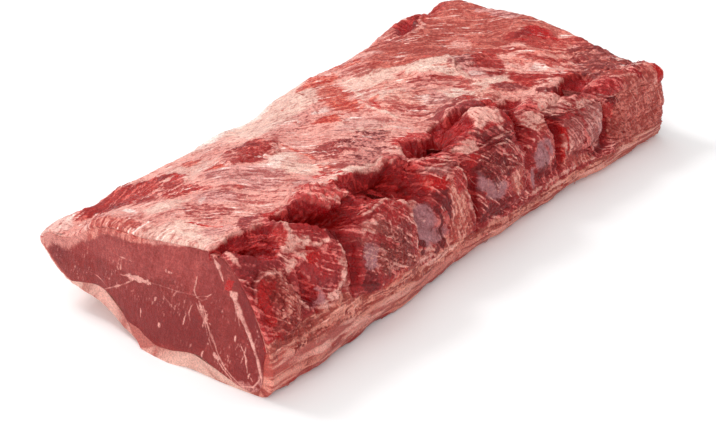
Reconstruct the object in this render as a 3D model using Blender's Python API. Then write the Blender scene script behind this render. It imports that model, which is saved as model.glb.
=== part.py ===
"""Boneless beef strip loin, whole and raw, lying on its fat.

The loin is a long slab. It is cut square at the near end (-X), its thick chine side with
the chunks left between the bones faces -Y, and its thin flank edge is at +Y.

A place on its skin has two coordinates: x in mm along the loin, and v round the section.
v runs from 0 at the flank's tip, over the top, to 1 at the crest of the chine side, down
to 2 at its bottom corner, and along the table back to 3 at the tip.
"""

import bpy
import numpy as np
from mathutils import Matrix, Vector

MM = 0.001  # the sizes below are in millimetres

LENGTH = 430.0
HALF = LENGTH / 2

# Named sizes of the section, at five even stations from the cut end to the far end.
SIZES = {
    "crest_y": (-62, -64, -66, -74, -88),  # top edge of the chine side
    "crest_z": (90, 85, 76, 64, 51),
    "middle_z": (78, 73, 67, 61, 56),  # top, half way from the crest to the flank
    "flank_y": (88, 92, 95, 99, 104),  # outermost edge of the thin side
    "flank_z": (55, 50, 50, 51, 49),  # top, where it turns down to the flank's edge
    "tip_z": (38, 33, 30, 30, 28),
    "lift": (18, 8, 0, 0, 0),  # the flank's underside, above the table
    "chine_y": (-106, -102, -95, -94, -98),  # foot of the chine side
    "fat_edge_v": (1.68, 1.74, 1.80, 1.80, 1.76),  # where the fat ends on the chine side
    "fat_depth": (9.0, 10.0, 10.0, 9.0, 8.0),  # of the fat under the lean
}

# v of each control point of the section, in the order of section_controls().
TOP_V = (0, 0.06, 0.14, 0.36, 0.55, 0.78)
CHINE_V = (1, 1.25, 1.5, 1.75, 1.9)
TABLE_V = (2, 2.25, 2.5)
FLANK_V = (2.68, 2.84, 2.93, 2.975)
CONTROL_V = np.array(TOP_V + CHINE_V + TABLE_V + FLANK_V)

# The chunks of the chine side and the top: centre x and v, half length along x, half
# width round the section, turn of the long axis in degrees, and height.
CHUNKS = {
    "end_chunk": (-200, 1.18, 26, 13, -14, 4),
    "crumbly_fat": (-190, 1.47, 20, 17, 0, 5),
    "split_chunk": (-152, 1.30, 28, 26, -20, 5),
    "low_chunk": (-150, 1.58, 26, 12, 0, 3),
    "round_chunk": (-94, 1.42, 37, 34, -8, 8),
    "grainy_knob": (-121, 1.00, 20, 15, -12, 6),
    "pale_bridge": (-51, 1.12, 9, 22, 0, 5),
    "folded_chunk": (-27, 1.35, 28, 26, -16, 6),
    "slab_chunk": (-14, 1.60, 17, 17, 0, 4),
    "big_dome": (33, 1.24, 34, 36, -10, 10),
    "dome_foot": (30, 1.58, 30, 15, 0, 3),
    "column": (80, 1.34, 13, 30, 0, 6),
    "top_roll": (98, 1.01, 20, 8, 8, 5),
    "last_chunk": (126, 1.34, 25, 28, -6, 6),
    "far_swell": (180, 1.30, 30, 24, 0, 2),
    "top_fold": (60, 0.84, 34, 9, 7, 4),
    "oval_swell": (-84, 0.46, 26, 16, 4, 3),
    "window_swell": (112, 0.52, 30, 15, -6, 3),
}

# Clefts: how wide and deep each is, and the x and v of the places that it runs through.
CLEFTS = {
    "near_cleft": (7, 10, (-216, 1.00), (-202, 1.01), (-190, 1.05), (-176, 1.07)),
    "near_pit": (8, 13, (-201, 1.08), (-194, 1.12), (-186, 1.15)),
    "knob_cleft": (9, 16, (-160, 1.00), (-146, 1.06), (-136, 1.16), (-126, 1.21), (-104, 1.22)),
    "deep_cleft": (15, 21, (-104, 1.00), (-86, 1.07), (-72, 1.13), (-62, 1.24), (-50, 1.27)),
    "wide_cleft": (15, 22, (-38, 0.97), (-24, 1.03), (-8, 1.11), (8, 1.03), (24, 0.95)),
    "dome_cleft": (9, 13, (48, 0.92), (56, 1.00), (61, 1.12), (66, 1.28)),
    "roll_cleft": (9, 12, (46, 0.95), (66, 0.96), (88, 0.92)),
    "far_cleft": (8, 13, (113, 0.97), (122, 1.00), (140, 0.95), (158, 0.91)),
    "column_cleft": (6, 8, (93, 1.14), (97, 1.38), (99, 1.62)),
    "last_cleft": (5, 5, (151, 1.28), (151, 1.50), (147, 1.68)),
    "dome_side": (6, 7, (1, 1.30), (3, 1.52), (3, 1.74)),
    "flank_cleft": (8, 7, (143, 0.16), (158, 0.11), (178, 0.12), (196, 0.09)),
}

# The cut face stands out at its foot: how far, round which y, and how wide and high.
CUT_BULGE = {"out": 6.0, "y": -35.0, "half_width": 75.0, "height": 90.0}

# The fat's depth at its upper edge and at the flank's tip, and the wedge of it by the flank.
FAT_EDGE_DEPTH = 2.5
FAT_TIP_DEPTH = 2.0
FAT_WEDGE = {"v": 2.66, "half_v": 0.07, "extra": 1.0}
FAT_LIP = {"v": 1.90, "half_v": 0.07, "out": 2.0}  # its roll above the table
FLANK_WAVES = ((1.4, 27.0), (0.9, 11.5))  # unevenness of the flank's edge: height, length
CHUNK_ROUNDNESS = 3  # 2 gives an ellipse's outline, more a squarer one
CLEFT_SHARPNESS = 1.8  # 2 gives a round bottom, less a sharper one
CLEFT_WANDER = 1.8  # how far a cleft strays from its line

GAP = 0.5  # left between the lean and the fat, which are separate solids
EDGE_V = 0.006  # the same gap at the fat's two edges, as a step of v
SIDE_MM_PER_V = 95.0  # length of skin for a step of 1 in v, on the chine side
TOP_MM_PER_V = 165.0  # and on the top

# How finely the skin is divided.
TOP_STEPS = 25
SIDE_STEPS = 21
FAT_STEPS = 19
STATIONS = 75
FAT_STATION_EVERY = 2
NEAR_BEVEL = 3.0  # length along x of the rounding at each end of the lean
FAR_BEVEL = 8.0
FAT_FAR_INSET = 3.5  # the fat's far end stands back a little from the lean's
FAT_FAR_THINNED = 0.4  # and is this much thinner
BEVELLED = 0.975  # size of the section where a bevel starts
NEAR_RINGS = (0.38, 0.72, BEVELLED)  # sizes of the rings that the cut face is drawn with
FAR_RINGS = (0.93, 0.5)


def clear_scene():
    for old in list(bpy.data.objects):
        bpy.data.objects.remove(old)


def hermite(t, a, b, slope_a, slope_b):
    """Cubic from a to b as t goes from 0 to 1."""
    return (
        (2 * t**3 - 3 * t**2 + 1) * a
        + (t**3 - 2 * t**2 + t) * slope_a
        + (3 * t**2 - 2 * t**3) * b
        + (t**3 - t**2) * slope_b
    )


def smoothstep(low, high, value):
    t = np.clip((value - low) / (high - low), 0, 1)
    return t * t * (3 - 2 * t)


def hump(v, form):
    """A smooth hump over v, 1 high."""
    return np.exp(-(((v - form["v"]) / form["half_v"]) ** 2))


def size_at(name, x):
    """A named size at x, on a smooth curve through its values at the stations."""
    values = np.array(SIZES[name], float)
    slopes = np.gradient(values)
    place = np.clip((x + HALF) / LENGTH * (len(values) - 1), 0, len(values) - 1)
    k = np.minimum(place.astype(int), len(values) - 2)
    return hermite(place - k, values[k], values[k + 1], slopes[k], slopes[k + 1])


def section_controls(x):
    """The points (y, z) that the section's outline at x passes through."""
    crest_y, crest_z = size_at("crest_y", x), size_at("crest_z", x)
    flank_y, flank_z = size_at("flank_y", x), size_at("flank_z", x)
    flank_y = flank_y + sum(height * np.sin(x / length) for height, length in FLANK_WAVES)
    foot_y, middle_z = size_at("chine_y", x), size_at("middle_z", x)
    tip_z, lift = size_at("tip_z", x), np.maximum(size_at("lift", x), 0)
    middle_y = (flank_y + crest_y) / 2
    half_top = flank_y - middle_y
    table = 0 * x
    points = [
        (flank_y, tip_z),
        (flank_y - 5, (tip_z + flank_z) / 2 + 3),
        (flank_y - 18, flank_z),
        (flank_y - 0.62 * half_top, flank_z + 0.60 * (middle_z - flank_z)),
        (middle_y, middle_z),
        (middle_y - 0.55 * half_top, middle_z + 0.62 * (crest_z - middle_z)),
        (crest_y, crest_z),
        (crest_y + 0.45 * (foot_y - crest_y), 0.84 * crest_z),
        (crest_y + 0.82 * (foot_y - crest_y), 0.58 * crest_z),
        (foot_y - 1, 0.28 * crest_z),
        (foot_y - 1, 0.08 * crest_z),
        (foot_y + 5, table),
        (foot_y + 0.45 * (middle_y - foot_y), table),
        (middle_y - 0.20 * half_top, table),
        (middle_y + 0.30 * half_top, 0.60 * lift),
        (middle_y + 0.62 * half_top, 0.95 * lift),
        (flank_y - 16, 1.25 * lift),
        (flank_y - 5, 0.62 * tip_z + 0.45 * lift),
    ]
    return np.stack([np.stack([y, z], -1) for y, z in points], -2)


def skin(x, v):
    """The place on the plain skin, before its relief, as (x, y, z)."""
    x, v = np.broadcast_arrays(np.asarray(x, float), np.asarray(v, float))
    shape = x.shape
    x, v = x.ravel(), np.mod(v.ravel(), 3.0)
    controls = section_controls(x)
    count = len(CONTROL_V)
    keys = np.concatenate([CONTROL_V[-1:] - 3, CONTROL_V, [3.0, 3.0 + CONTROL_V[1]]])
    k = np.clip(np.searchsorted(keys, v, side="right") - 1, 1, count)
    row = np.arange(len(v))
    before, start, end, after = (controls[row, (k + step) % count] for step in (-2, -1, 0, 1))
    span_before, span, span_after = (
        (keys[k + 1 + step] - keys[k + step])[:, None] for step in (-1, 0, 1)
    )
    slope_start = (
        (end - start) / span * span_before + (start - before) / span_before * span
    ) / (span_before + span)
    slope_end = (
        (after - end) / span_after * span + (end - start) / span * span_after
    ) / (span + span_after)
    t = ((v - keys[k])[:, None]) / span
    yz = hermite(t, start, end, slope_start * span, slope_end * span)
    return np.column_stack([x, yz]).reshape(shape + (3,))


def outward(x, v):
    """The skin's unit normal, pointing out."""
    step_x, step_v = 0.5, 0.004
    along = skin(x + step_x, v) - skin(x - step_x, v)
    around = skin(x, v + step_v) - skin(x, v - step_v)
    normal = np.cross(around, along)
    return normal / np.linalg.norm(normal, axis=-1, keepdims=True)


def mm_per_v(v):
    return np.where(v < 1, TOP_MM_PER_V, SIDE_MM_PER_V)


def round_mm(v):
    """v as a length of skin in mm, measured from the crest."""
    return (v - 1) * mm_per_v(v)


def chunk_height(x, v, chunk):
    """A rounded chunk: a dome with steep sides."""
    at_x, at_v, half_x, half_v, turn, height = chunk
    across = x - at_x
    down = round_mm(v) - round_mm(np.float64(at_v))
    cos, sin = np.cos(np.radians(turn)), np.sin(np.radians(turn))
    a = (across * cos - down * sin) / half_x
    b = (across * sin + down * cos) / half_v
    reach = np.abs(a) ** CHUNK_ROUNDNESS + np.abs(b) ** CHUNK_ROUNDNESS
    return height * np.clip(1 - reach, 0, 1) ** 0.5


def cleft_depth(x, v, cleft):
    """A cleft: a groove along its line, deepest in the middle and running out at its ends."""
    width, depth, *line = cleft
    places = np.array([(px, round_mm(np.float64(pv))) for px, pv in line])
    s = round_mm(v)
    stray = np.sin(x / 5.1 + s / 9.7), np.sin(s / 6.3 - x / 8.9)
    here = np.stack([x + CLEFT_WANDER * stray[0], s + CLEFT_WANDER * stray[1]], -1)
    nearest = np.full(x.shape, 1e9)
    share = np.zeros(x.shape)
    count = len(places) - 1
    for i, (a, b) in enumerate(zip(places[:-1], places[1:])):
        run = b - a
        t = np.clip(((here - a) @ run) / (run @ run), 0, 1)
        distance = np.linalg.norm(here - a - t[..., None] * run, axis=-1)
        closer = distance < nearest
        nearest = np.where(closer, distance, nearest)
        share = np.where(closer, (i + t) / count, share)
    ends = np.sin(np.pi * np.clip(0.08 + 0.84 * share, 0, 1)) ** 0.6
    return depth * ends * np.exp(-((nearest / (0.62 * width)) ** CLEFT_SHARPNESS))


def lumpiness(x, v):
    """The shallow unevenness that the whole top and side have."""
    s = round_mm(v)
    return (
        0.9 * np.sin(x / 17 + 1.3 * np.sin(s / 21))
        + 0.7 * np.sin(s / 11 + 1.7 * np.sin(x / 26))
        + 0.5 * np.sin((x + s) / 8.3)
    )


def relief(x, v):
    """Height over the plain skin: chunks, shallow lumps and clefts, gone at the fat."""
    highest = np.zeros(np.broadcast(x, v).shape)
    for chunk in CHUNKS.values():
        highest = np.maximum(highest, chunk_height(x, v, chunk))
    clefts = np.zeros(highest.shape)
    for cleft in CLEFTS.values():
        clefts = np.maximum(clefts, cleft_depth(x, v, cleft))
    fat_edge = size_at("fat_edge_v", x)
    shown = smoothstep(fat_edge, fat_edge - 0.07, v) * smoothstep(0.0, 0.06, v)
    at_cut = smoothstep(-HALF, -HALF + 6, x)
    height = highest * (0.35 + 0.65 * at_cut) - clefts + lumpiness(x, v)
    return height * shown


def fat_depth(x, v):
    """Depth of the fat under the skin at v: thin at both edges, with a wedge at the flank."""
    fat_edge = size_at("fat_edge_v", x)
    usual = size_at("fat_depth", x)
    share = (v - fat_edge) / (3 - fat_edge)
    side = FAT_EDGE_DEPTH + (usual - FAT_EDGE_DEPTH) * smoothstep(0.0, 0.28, share)
    wedge = FAT_WEDGE["extra"] * hump(v, FAT_WEDGE) * smoothstep(0, -HALF, x)
    return FAT_TIP_DEPTH + (side * (1 + wedge) - FAT_TIP_DEPTH) * smoothstep(2.97, 2.76, v)


def cut_bulge(y, z):
    """How far the cut face stands out at (y, z): most at its foot, none at its top."""
    across = np.clip(1 - ((y - CUT_BULGE["y"]) / CUT_BULGE["half_width"]) ** 2, 0, 1)
    return CUT_BULGE["out"] * across * np.clip(1.15 - z / CUT_BULGE["height"], 0, 1)


def end_shaped(points):
    """Points near the cut end, pushed out as its face is."""
    x, y, z = points[..., 0], points[..., 1], points[..., 2]
    share = smoothstep(-HALF + 22, -HALF, x)
    return np.stack([x - share * cut_bulge(y, z), y, z], -1)


def add_object(name, vertices, faces, material):
    """A mesh object from vertices in mm."""
    mesh = bpy.data.meshes.new(name)
    mesh.from_pydata([tuple(p) for p in vertices * MM], [], faces)
    mesh.materials.append(material)
    mesh.update()
    mesh.shade_smooth()
    made = bpy.data.objects.new(name, mesh)
    bpy.context.scene.collection.objects.link(made)
    return made


def ring_faces(first_a, first_b, count):
    """Quads between two rings of the same count, facing out."""
    faces = []
    for j in range(count):
        n = (j + 1) % count
        faces.append((first_a + j, first_a + n, first_b + n, first_b + j))
    return faces


def fan(first, count, middle, towards_near):
    """Triangles from a ring to its middle point."""
    faces = []
    for j in range(count):
        n = (j + 1) % count
        faces.append((first + n, first + j, middle) if towards_near else (first + j, first + n, middle))
    return faces


def fat_places(fat_edge):
    """The places round the section where the fat is drawn: close together where it turns."""
    share = np.linspace(0, 1, FAT_STEPS + 2)
    return np.interp(share, (0, 0.36, 0.48, 0.68, 1), (fat_edge, 2.0, 2.5, 2.84, 3.0))


def stations():
    """The places along the loin where its section is drawn, the fat's being every second one."""
    return np.linspace(-HALF + NEAR_BEVEL, HALF - FAR_BEVEL, STATIONS)


def lean_ring(x):
    """The lean's outline at x: its own skin, then the top of the fat that it lies on."""
    fat_edge = float(size_at("fat_edge_v", np.array([x]))[0])
    top = np.linspace(EDGE_V, 1, TOP_STEPS, endpoint=False)
    side = 1 + (fat_edge - EDGE_V - 1) * np.linspace(0, 1, SIDE_STEPS)
    under = fat_places(fat_edge)
    own_v = np.concatenate([top, side])
    own_x = np.full(own_v.shape, x)
    own = skin(own_x, own_v) + outward(own_x, own_v) * relief(own_x, own_v)[:, None]
    under_x = np.full(under.shape, x)
    depth = fat_depth(under_x, under) + GAP
    lower = skin(under_x, under) - outward(under_x, under) * depth[:, None]
    return np.concatenate([own, lower])


def build_lean(material):
    """The lean: rings along the loin, closed by a shallow bevel and a flat face at each end."""
    rings = [lean_ring(x) for x in stations()]
    middle = rings[0].mean(0), rings[-1].mean(0)

    def cap(ring, centre, x, shrink):
        flat = centre + (ring - centre) * shrink
        flat[:, 0] = x
        return flat

    near = [cap(rings[0], middle[0], -HALF, size) for size in NEAR_RINGS]
    far_bevel = cap(rings[-1], middle[1], HALF - FAR_BEVEL / 4, BEVELLED)
    far = [cap(rings[-1], middle[1], HALF, size) for size in FAR_RINGS]
    stack = near + rings + [far_bevel] + far
    count = len(rings[0])
    ends = np.array([[-HALF, *middle[0][1:]], [HALF, *middle[1][1:]]])
    vertices = end_shaped(np.concatenate(stack + [ends]))
    faces = []
    for i in range(len(stack) - 1):
        faces += ring_faces(i * count, (i + 1) * count, count)
    last = (len(stack) - 1) * count
    faces += fan(0, count, len(stack) * count, True)
    faces += fan(last, count, len(stack) * count + 1, False)
    return add_object("loin", vertices, faces, material)


def fat_relief(x, v):
    """The fat's own unevenness: ragged on the chine side, flat where it lies on the table."""
    s = round_mm(v)
    ragged = 1.5 * np.sin(x / 8.3 + 1.4 * np.sin(x / 21) + s / 9) + 1.1 * np.sin(x / 4.6 - s / 5)
    lip = FAT_LIP["out"] * hump(v, FAT_LIP)
    return (ragged + lip) * smoothstep(1.70, 1.78, v) * smoothstep(1.985, 1.93, v)


def fat_ring(x, thinned=0.0):
    """The fat's outline at x: out along the skin, and back along the lean.

    thinned is the share of its depth that is taken off outside.
    """
    fat_edge = float(size_at("fat_edge_v", np.array([x]))[0])
    v = fat_places(fat_edge)
    v[0] += EDGE_V
    v[-1] -= EDGE_V
    xs = np.full(v.shape, x)
    surface, normal = skin(xs, v), outward(xs, v)
    depth = fat_depth(xs, v)[:, None]
    outer = surface + normal * (fat_relief(xs, v)[:, None] - thinned * depth)
    outer[:, 2] = np.maximum(outer[:, 2], 0)
    inner = surface - normal * depth
    return np.concatenate([outer, inner[::-1]])


def build_fat(material):
    """The fat cap: a sheet under the lean, turned up a little on the chine side."""
    xs = [-HALF, *stations()[::FAT_STATION_EVERY]]
    far = fat_ring(xs[-1], FAT_FAR_THINNED)
    far[:, 0] = HALF - FAT_FAR_INSET
    rings = [end_shaped(ring) for ring in [*map(fat_ring, xs), far]]
    count = len(rings[0])
    faces = []
    for i in range(len(rings) - 1):
        faces += ring_faces(i * count, (i + 1) * count, count)
    last = (len(rings) - 1) * count
    half = count // 2
    for j in range(half - 1):
        a, b, c, d = j, j + 1, count - 2 - j, count - 1 - j
        faces.append((d, c, b, a))
        faces.append((last + a, last + b, last + c, last + d))
    return add_object("fat_cap", np.concatenate(rings), faces, material)


def finish_material(name, colour, roughness):
    made = bpy.data.materials.new(name)
    made.use_nodes = True
    shader = made.node_tree.nodes["Principled BSDF"]
    shader.inputs["Base Color"].default_value = (*colour, 1)
    shader.inputs["Roughness"].default_value = roughness
    shader.inputs["Metallic"].default_value = 0.0
    made.diffuse_color = (*colour, 1)
    return made


def centre_on_origin(parts):
    """Move the meshes so that the origin is on the table, under the middle of the whole."""
    corners = np.array([v.co for part in parts for v in part.data.vertices])
    low, high = corners.min(0), corners.max(0)
    shift = Vector((-(low[0] + high[0]) / 2, -(low[1] + high[1]) / 2, -low[2]))
    for part in parts:
        part.data.transform(Matrix.Translation(shift))


def main():
    clear_scene()
    loin = build_lean(finish_material("raw lean beef", (0.42, 0.075, 0.075), 0.42))
    fat_cap = build_fat(finish_material("beef fat", (0.72, 0.36, 0.28), 0.5))
    centre_on_origin([loin, fat_cap])


main()
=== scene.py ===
import math

import bpy
import numpy as np
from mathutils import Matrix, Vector


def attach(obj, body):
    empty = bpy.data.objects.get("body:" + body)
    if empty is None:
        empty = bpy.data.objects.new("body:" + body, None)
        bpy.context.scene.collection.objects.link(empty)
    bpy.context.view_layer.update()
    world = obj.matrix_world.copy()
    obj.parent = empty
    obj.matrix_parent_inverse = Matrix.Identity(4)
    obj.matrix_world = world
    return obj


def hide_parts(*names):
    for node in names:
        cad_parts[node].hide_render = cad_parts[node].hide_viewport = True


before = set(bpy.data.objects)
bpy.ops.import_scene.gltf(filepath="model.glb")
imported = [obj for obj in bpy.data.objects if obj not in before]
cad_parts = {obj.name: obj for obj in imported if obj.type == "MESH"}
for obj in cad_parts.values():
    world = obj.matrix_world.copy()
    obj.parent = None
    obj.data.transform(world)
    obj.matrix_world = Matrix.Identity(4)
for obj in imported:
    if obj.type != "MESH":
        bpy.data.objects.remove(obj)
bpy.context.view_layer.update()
print("frame loaded")

mm = 0.001

# Sizes of the loin, in mm, at five even stations from the cut end to the far end.
loin = {
    "length": 430.0,
    "origin": (2.99, 2.50),  # where the middle of the skin's own places lies in the frame
    "crestY": (-62, -64, -66, -74, -88),  # top edge of the chine side
    "crestZ": (90, 85, 76, 64, 51),
    "middleZ": (78, 73, 67, 61, 56),
    "flankY": (88, 92, 95, 99, 104),  # outermost edge of the thin side
    "flankZ": (55, 50, 50, 51, 49),
    "tipZ": (38, 33, 30, 30, 28),
    "lift": (18, 8, 0, 0, 0),
    "chineY": (-106, -102, -95, -94, -98),
    "fatEdge": (1.68, 1.74, 1.80, 1.80, 1.76),
    "fatDepth": (9.0, 10.0, 10.0, 9.0, 8.0),
    # bulge of the fresh cut: mm at its middle, length that it takes up, middle and half width across, height
    "cutBulge": {"out": 6.0, "over": 22.0, "middleY": -35.0, "half": 75.0, "height": 90.0},
    "flankWaves": ((1.4, 27.0), (0.9, 11.5)),
}
halfLength = loin["length"] / 2

# v runs round the section: 0 flank tip, 1 crest, 2 foot of the chine side, 3 the tip again.
sectionV = np.array(
    [0, 0.06, 0.14, 0.36, 0.55, 0.78, 1, 1.25, 1.5, 1.75, 1.9, 2, 2.25, 2.5, 2.68, 2.84, 2.93, 2.975]
)
topMmPerV = 165.0
sideMmPerV = 95.0


def smoothstep(low, high, value):
    t = np.clip((value - low) / (high - low), 0, 1)
    return t * t * (3 - 2 * t)


def bell(value, middle, half):
    return np.exp(-(((value - middle) / half) ** 2))


def hermite(t, a, b, slopeA, slopeB):
    return (
        (2 * t**3 - 3 * t**2 + 1) * a
        + (t**3 - 2 * t**2 + t) * slopeA
        + (3 * t**2 - 2 * t**3) * b
        + (t**3 - t**2) * slopeB
    )


def sizeAt(name, x):
    values = np.array(loin[name], float)
    slopes = np.gradient(values)
    place = np.clip((x + halfLength) / loin["length"] * (len(values) - 1), 0, len(values) - 1)
    k = np.minimum(place.astype(int), len(values) - 2)
    return hermite(place - k, values[k], values[k + 1], slopes[k], slopes[k + 1])


def sectionControls(x):
    crestY, crestZ = sizeAt("crestY", x), sizeAt("crestZ", x)
    flankY, flankZ = sizeAt("flankY", x), sizeAt("flankZ", x)
    flankY = flankY + sum(height * np.sin(x / length) for height, length in loin["flankWaves"])
    footY, middleZ = sizeAt("chineY", x), sizeAt("middleZ", x)
    tipZ, lift = sizeAt("tipZ", x), np.maximum(sizeAt("lift", x), 0)
    middleY = (flankY + crestY) / 2
    halfTop = flankY - middleY
    table = 0 * x
    points = [
        (flankY, tipZ),
        (flankY - 5, (tipZ + flankZ) / 2 + 3),
        (flankY - 18, flankZ),
        (flankY - 0.62 * halfTop, flankZ + 0.60 * (middleZ - flankZ)),
        (middleY, middleZ),
        (middleY - 0.55 * halfTop, middleZ + 0.62 * (crestZ - middleZ)),
        (crestY, crestZ),
        (crestY + 0.45 * (footY - crestY), 0.84 * crestZ),
        (crestY + 0.82 * (footY - crestY), 0.58 * crestZ),
        (footY - 1, 0.28 * crestZ),
        (footY - 1, 0.08 * crestZ),
        (footY + 5, table),
        (footY + 0.45 * (middleY - footY), table),
        (middleY - 0.20 * halfTop, table),
        (middleY + 0.30 * halfTop, 0.60 * lift),
        (middleY + 0.62 * halfTop, 0.95 * lift),
        (flankY - 16, 1.25 * lift),
        (flankY - 5, 0.62 * tipZ + 0.45 * lift),
    ]
    return np.stack([np.stack([y, z], -1) for y, z in points], -2)


def skin(x, v):
    x, v = np.broadcast_arrays(np.asarray(x, float), np.asarray(v, float))
    shape = x.shape
    x, v = x.ravel(), np.mod(v.ravel(), 3.0)
    controls = sectionControls(x)
    count = len(sectionV)
    keys = np.concatenate([sectionV[-1:] - 3, sectionV, [3.0, 3.0 + sectionV[1]]])
    k = np.clip(np.searchsorted(keys, v, side="right") - 1, 1, count)
    row = np.arange(len(v))
    before, start, end, after = (controls[row, (k + step) % count] for step in (-2, -1, 0, 1))
    spanBefore, span, spanAfter = ((keys[k + 1 + step] - keys[k + step])[:, None] for step in (-1, 0, 1))
    rise = (end - start) / span
    slopeStart = (rise * spanBefore + (start - before) / spanBefore * span) / (spanBefore + span)
    slopeEnd = ((after - end) / spanAfter * span + rise * spanAfter) / (span + spanAfter)
    t = (v - keys[k])[:, None] / span
    yz = hermite(t, start, end, slopeStart * span, slopeEnd * span)
    return np.column_stack([x, yz]).reshape(shape + (3,))


def outward(x, v):
    stepX, stepV = 0.5, 0.004
    along = skin(x + stepX, v) - skin(x - stepX, v)
    around = skin(x, v + stepV) - skin(x, v - stepV)
    normal = np.cross(around, along)
    return normal / np.linalg.norm(normal, axis=-1, keepdims=True)


def roundMm(v):
    # v as mm of skin, counted from the crest
    v = np.asarray(v, float)
    return (v - 1) * np.where(v < 1, topMmPerV, sideMmPerV)


# Noise on a lattice of hashed values, the same on every run.
def latticeValue(i, j, k, seed):
    h = i * 73856093 ^ j * 19349663 ^ k * 83492791 ^ (seed * 15485863 + 101)
    h = (h ^ (h >> 13)) & 0xFFFFFFFF
    h = (h * 1274126177) & 0xFFFFFFFF
    h = (h ^ (h >> 16)) & 0xFFFFFFFF
    h = (h * 668265263) & 0xFFFFFFFF
    h = h ^ (h >> 15)
    return (h & 0xFFFF) / 32767.5 - 1


def noise(a, b, size, seed=0):
    a, b = np.broadcast_arrays(a / size, b / size)
    i, j = np.floor(a).astype(np.int64), np.floor(b).astype(np.int64)
    fa, fb = a - i, b - j
    fa, fb = (f * f * f * (f * (f * 6 - 15) + 10) for f in (fa, fb))
    near = latticeValue(i, j, 0, seed) * (1 - fa) + latticeValue(i + 1, j, 0, seed) * fa
    far = latticeValue(i, j + 1, 0, seed) * (1 - fa) + latticeValue(i + 1, j + 1, 0, seed) * fa
    return near * (1 - fb) + far * fb


contrast = 1.6  # brings sums of noises back to about -1 to 1


def layered(a, b, size, octaves=3, seed=0):
    total, weight, most = 0, 1.0, 0
    for octave in range(octaves):
        total = total + weight * noise(a, b, size / 2**octave, seed + octave)
        most += weight
        weight *= 0.55
    return total / most * contrast


def cells(a, b, size, seed):
    # how far each place is from the border of its cell, and the cell's own value
    a, b = np.broadcast_arrays(a / size, b / size)
    i, j = np.floor(a).astype(np.int64), np.floor(b).astype(np.int64)
    first, second, own = np.full(a.shape, 9.0), np.full(a.shape, 9.0), np.zeros(a.shape)
    for stepI in (-1, 0, 1):
        for stepJ in (-1, 0, 1):
            ci, cj = i + stepI, j + stepJ
            atA = ci + 0.5 + 0.45 * latticeValue(ci, cj, 0, seed)
            atB = cj + 0.5 + 0.45 * latticeValue(ci, cj, 1, seed)
            distance = np.hypot(a - atA, b - atB)
            closer = distance < first
            second = np.where(closer, first, np.minimum(second, distance))
            own = np.where(closer, latticeValue(ci, cj, 2, seed), own)
            first = np.minimum(first, distance)
    return second - first, own


# Chunks between the bones: x, v, half length, half width, height and a turn in degrees, if any.
chunks = {
    "endChunk": (-200, 1.18, 26, 13, 4, -14),
    "crumblyFat": (-195, 1.46, 13, 17, 3.5, 12),
    "splitChunk": (-152, 1.3, 28, 26, 5, -20),
    "lowChunk": (-150, 1.58, 26, 12, 3),
    "roundChunk": (-94, 1.42, 37, 34, 8, -8),
    "grainyKnob": (-127, 1.03, 19, 15, 7, -12),
    "paleBridge": (-51, 1.12, 9, 22, 5),
    "foldedChunk": (-27, 1.35, 28, 26, 6, -16),
    "slabChunk": (-14, 1.6, 17, 17, 4),
    "bigDome": (33, 1.24, 34, 36, 10, -10),
    "domeFoot": (30, 1.58, 30, 15, 3),
    "column": (80, 1.34, 13, 30, 6),
    "topRoll": (98, 1.01, 20, 8, 5, 8),
    "lastChunk": (126, 1.34, 25, 28, 6, -6),
    "farSwell": (180, 1.3, 30, 24, 2),
    "topFold": (60, 0.84, 34, 9, 4, 7),
    "farCorner": (196, 1.24, 44, 34, 5),
    "farRim": (206, 0.62, 26, 52, 1.5),
    "farFlank": (160, 0.06, 34, 16, 3),
    "ovalSwell": (-84, 0.46, 26, 16, 3, 4),
    "windowSwell": (112, 0.52, 30, 15, 3, -6),
}
# Clefts: width, depth, then the x and v of the places that each runs through.
clefts = {
    "nearCleft": (8, 10, (-216, 1), (-202, 1.01), (-190, 1.05), (-176, 1.07)),
    "nearPit": (12, 17, (-204, 1.07), (-194, 1.11), (-184, 1.14)),
    "knobCleft": (11, 16, (-160, 1.01), (-146, 1.07), (-136, 1.16), (-126, 1.2), (-108, 1.2)),
    "deepCleft": (22, 20, (-94, 1.06), (-84, 1.1), (-72, 1.145), (-60, 1.18), (-52, 1.2)),
    "deepStart": (9, 11, (-116, 0.97), (-104, 1.01), (-90, 1.06)),
    "deepEnd": (10, 13, (-62, 1.2), (-54, 1.26), (-46, 1.31)),
    "wideCleft": (18, 19, (-22, 0.985), (-10, 1), (2, 1), (11, 0.965), (19, 0.94)),
    "domeCleft": (10, 13, (48, 0.93), (56, 1), (61, 1.12), (66, 1.28)),
    "rollCleft": (
        9, 12, (14, 0.97), (22, 0.935), (30, 0.92), (46, 0.915), (60, 0.95), (74, 0.96), (90, 0.92),
    ),
    "farCleft": (11, 13, (116, 0.97), (126, 1), (140, 0.97), (156, 0.92)),
    "columnCleft": (8, 9, (93, 1.14), (98, 1.38), (101, 1.66)),
    "lastCleft": (6, 6, (151, 1.28), (151, 1.5), (147, 1.68)),
    "domeSide": (7, 8, (1, 1.3), (3, 1.52), (3, 1.74)),
    "splitCleft": (6, 6, (-132, 1.22), (-127, 1.38), (-129, 1.52), (-136, 1.62)),
    "foldCleft": (6, 6, (-62, 1.34), (-64, 1.46), (-66, 1.6)),
    "crumbCleft": (6, 6, (-172, 1.34), (-170, 1.48), (-168, 1.6)),
    "flankCleft": (9, 8, (143, 0.16), (158, 0.11), (178, 0.12), (196, 0.09)),
}
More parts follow.
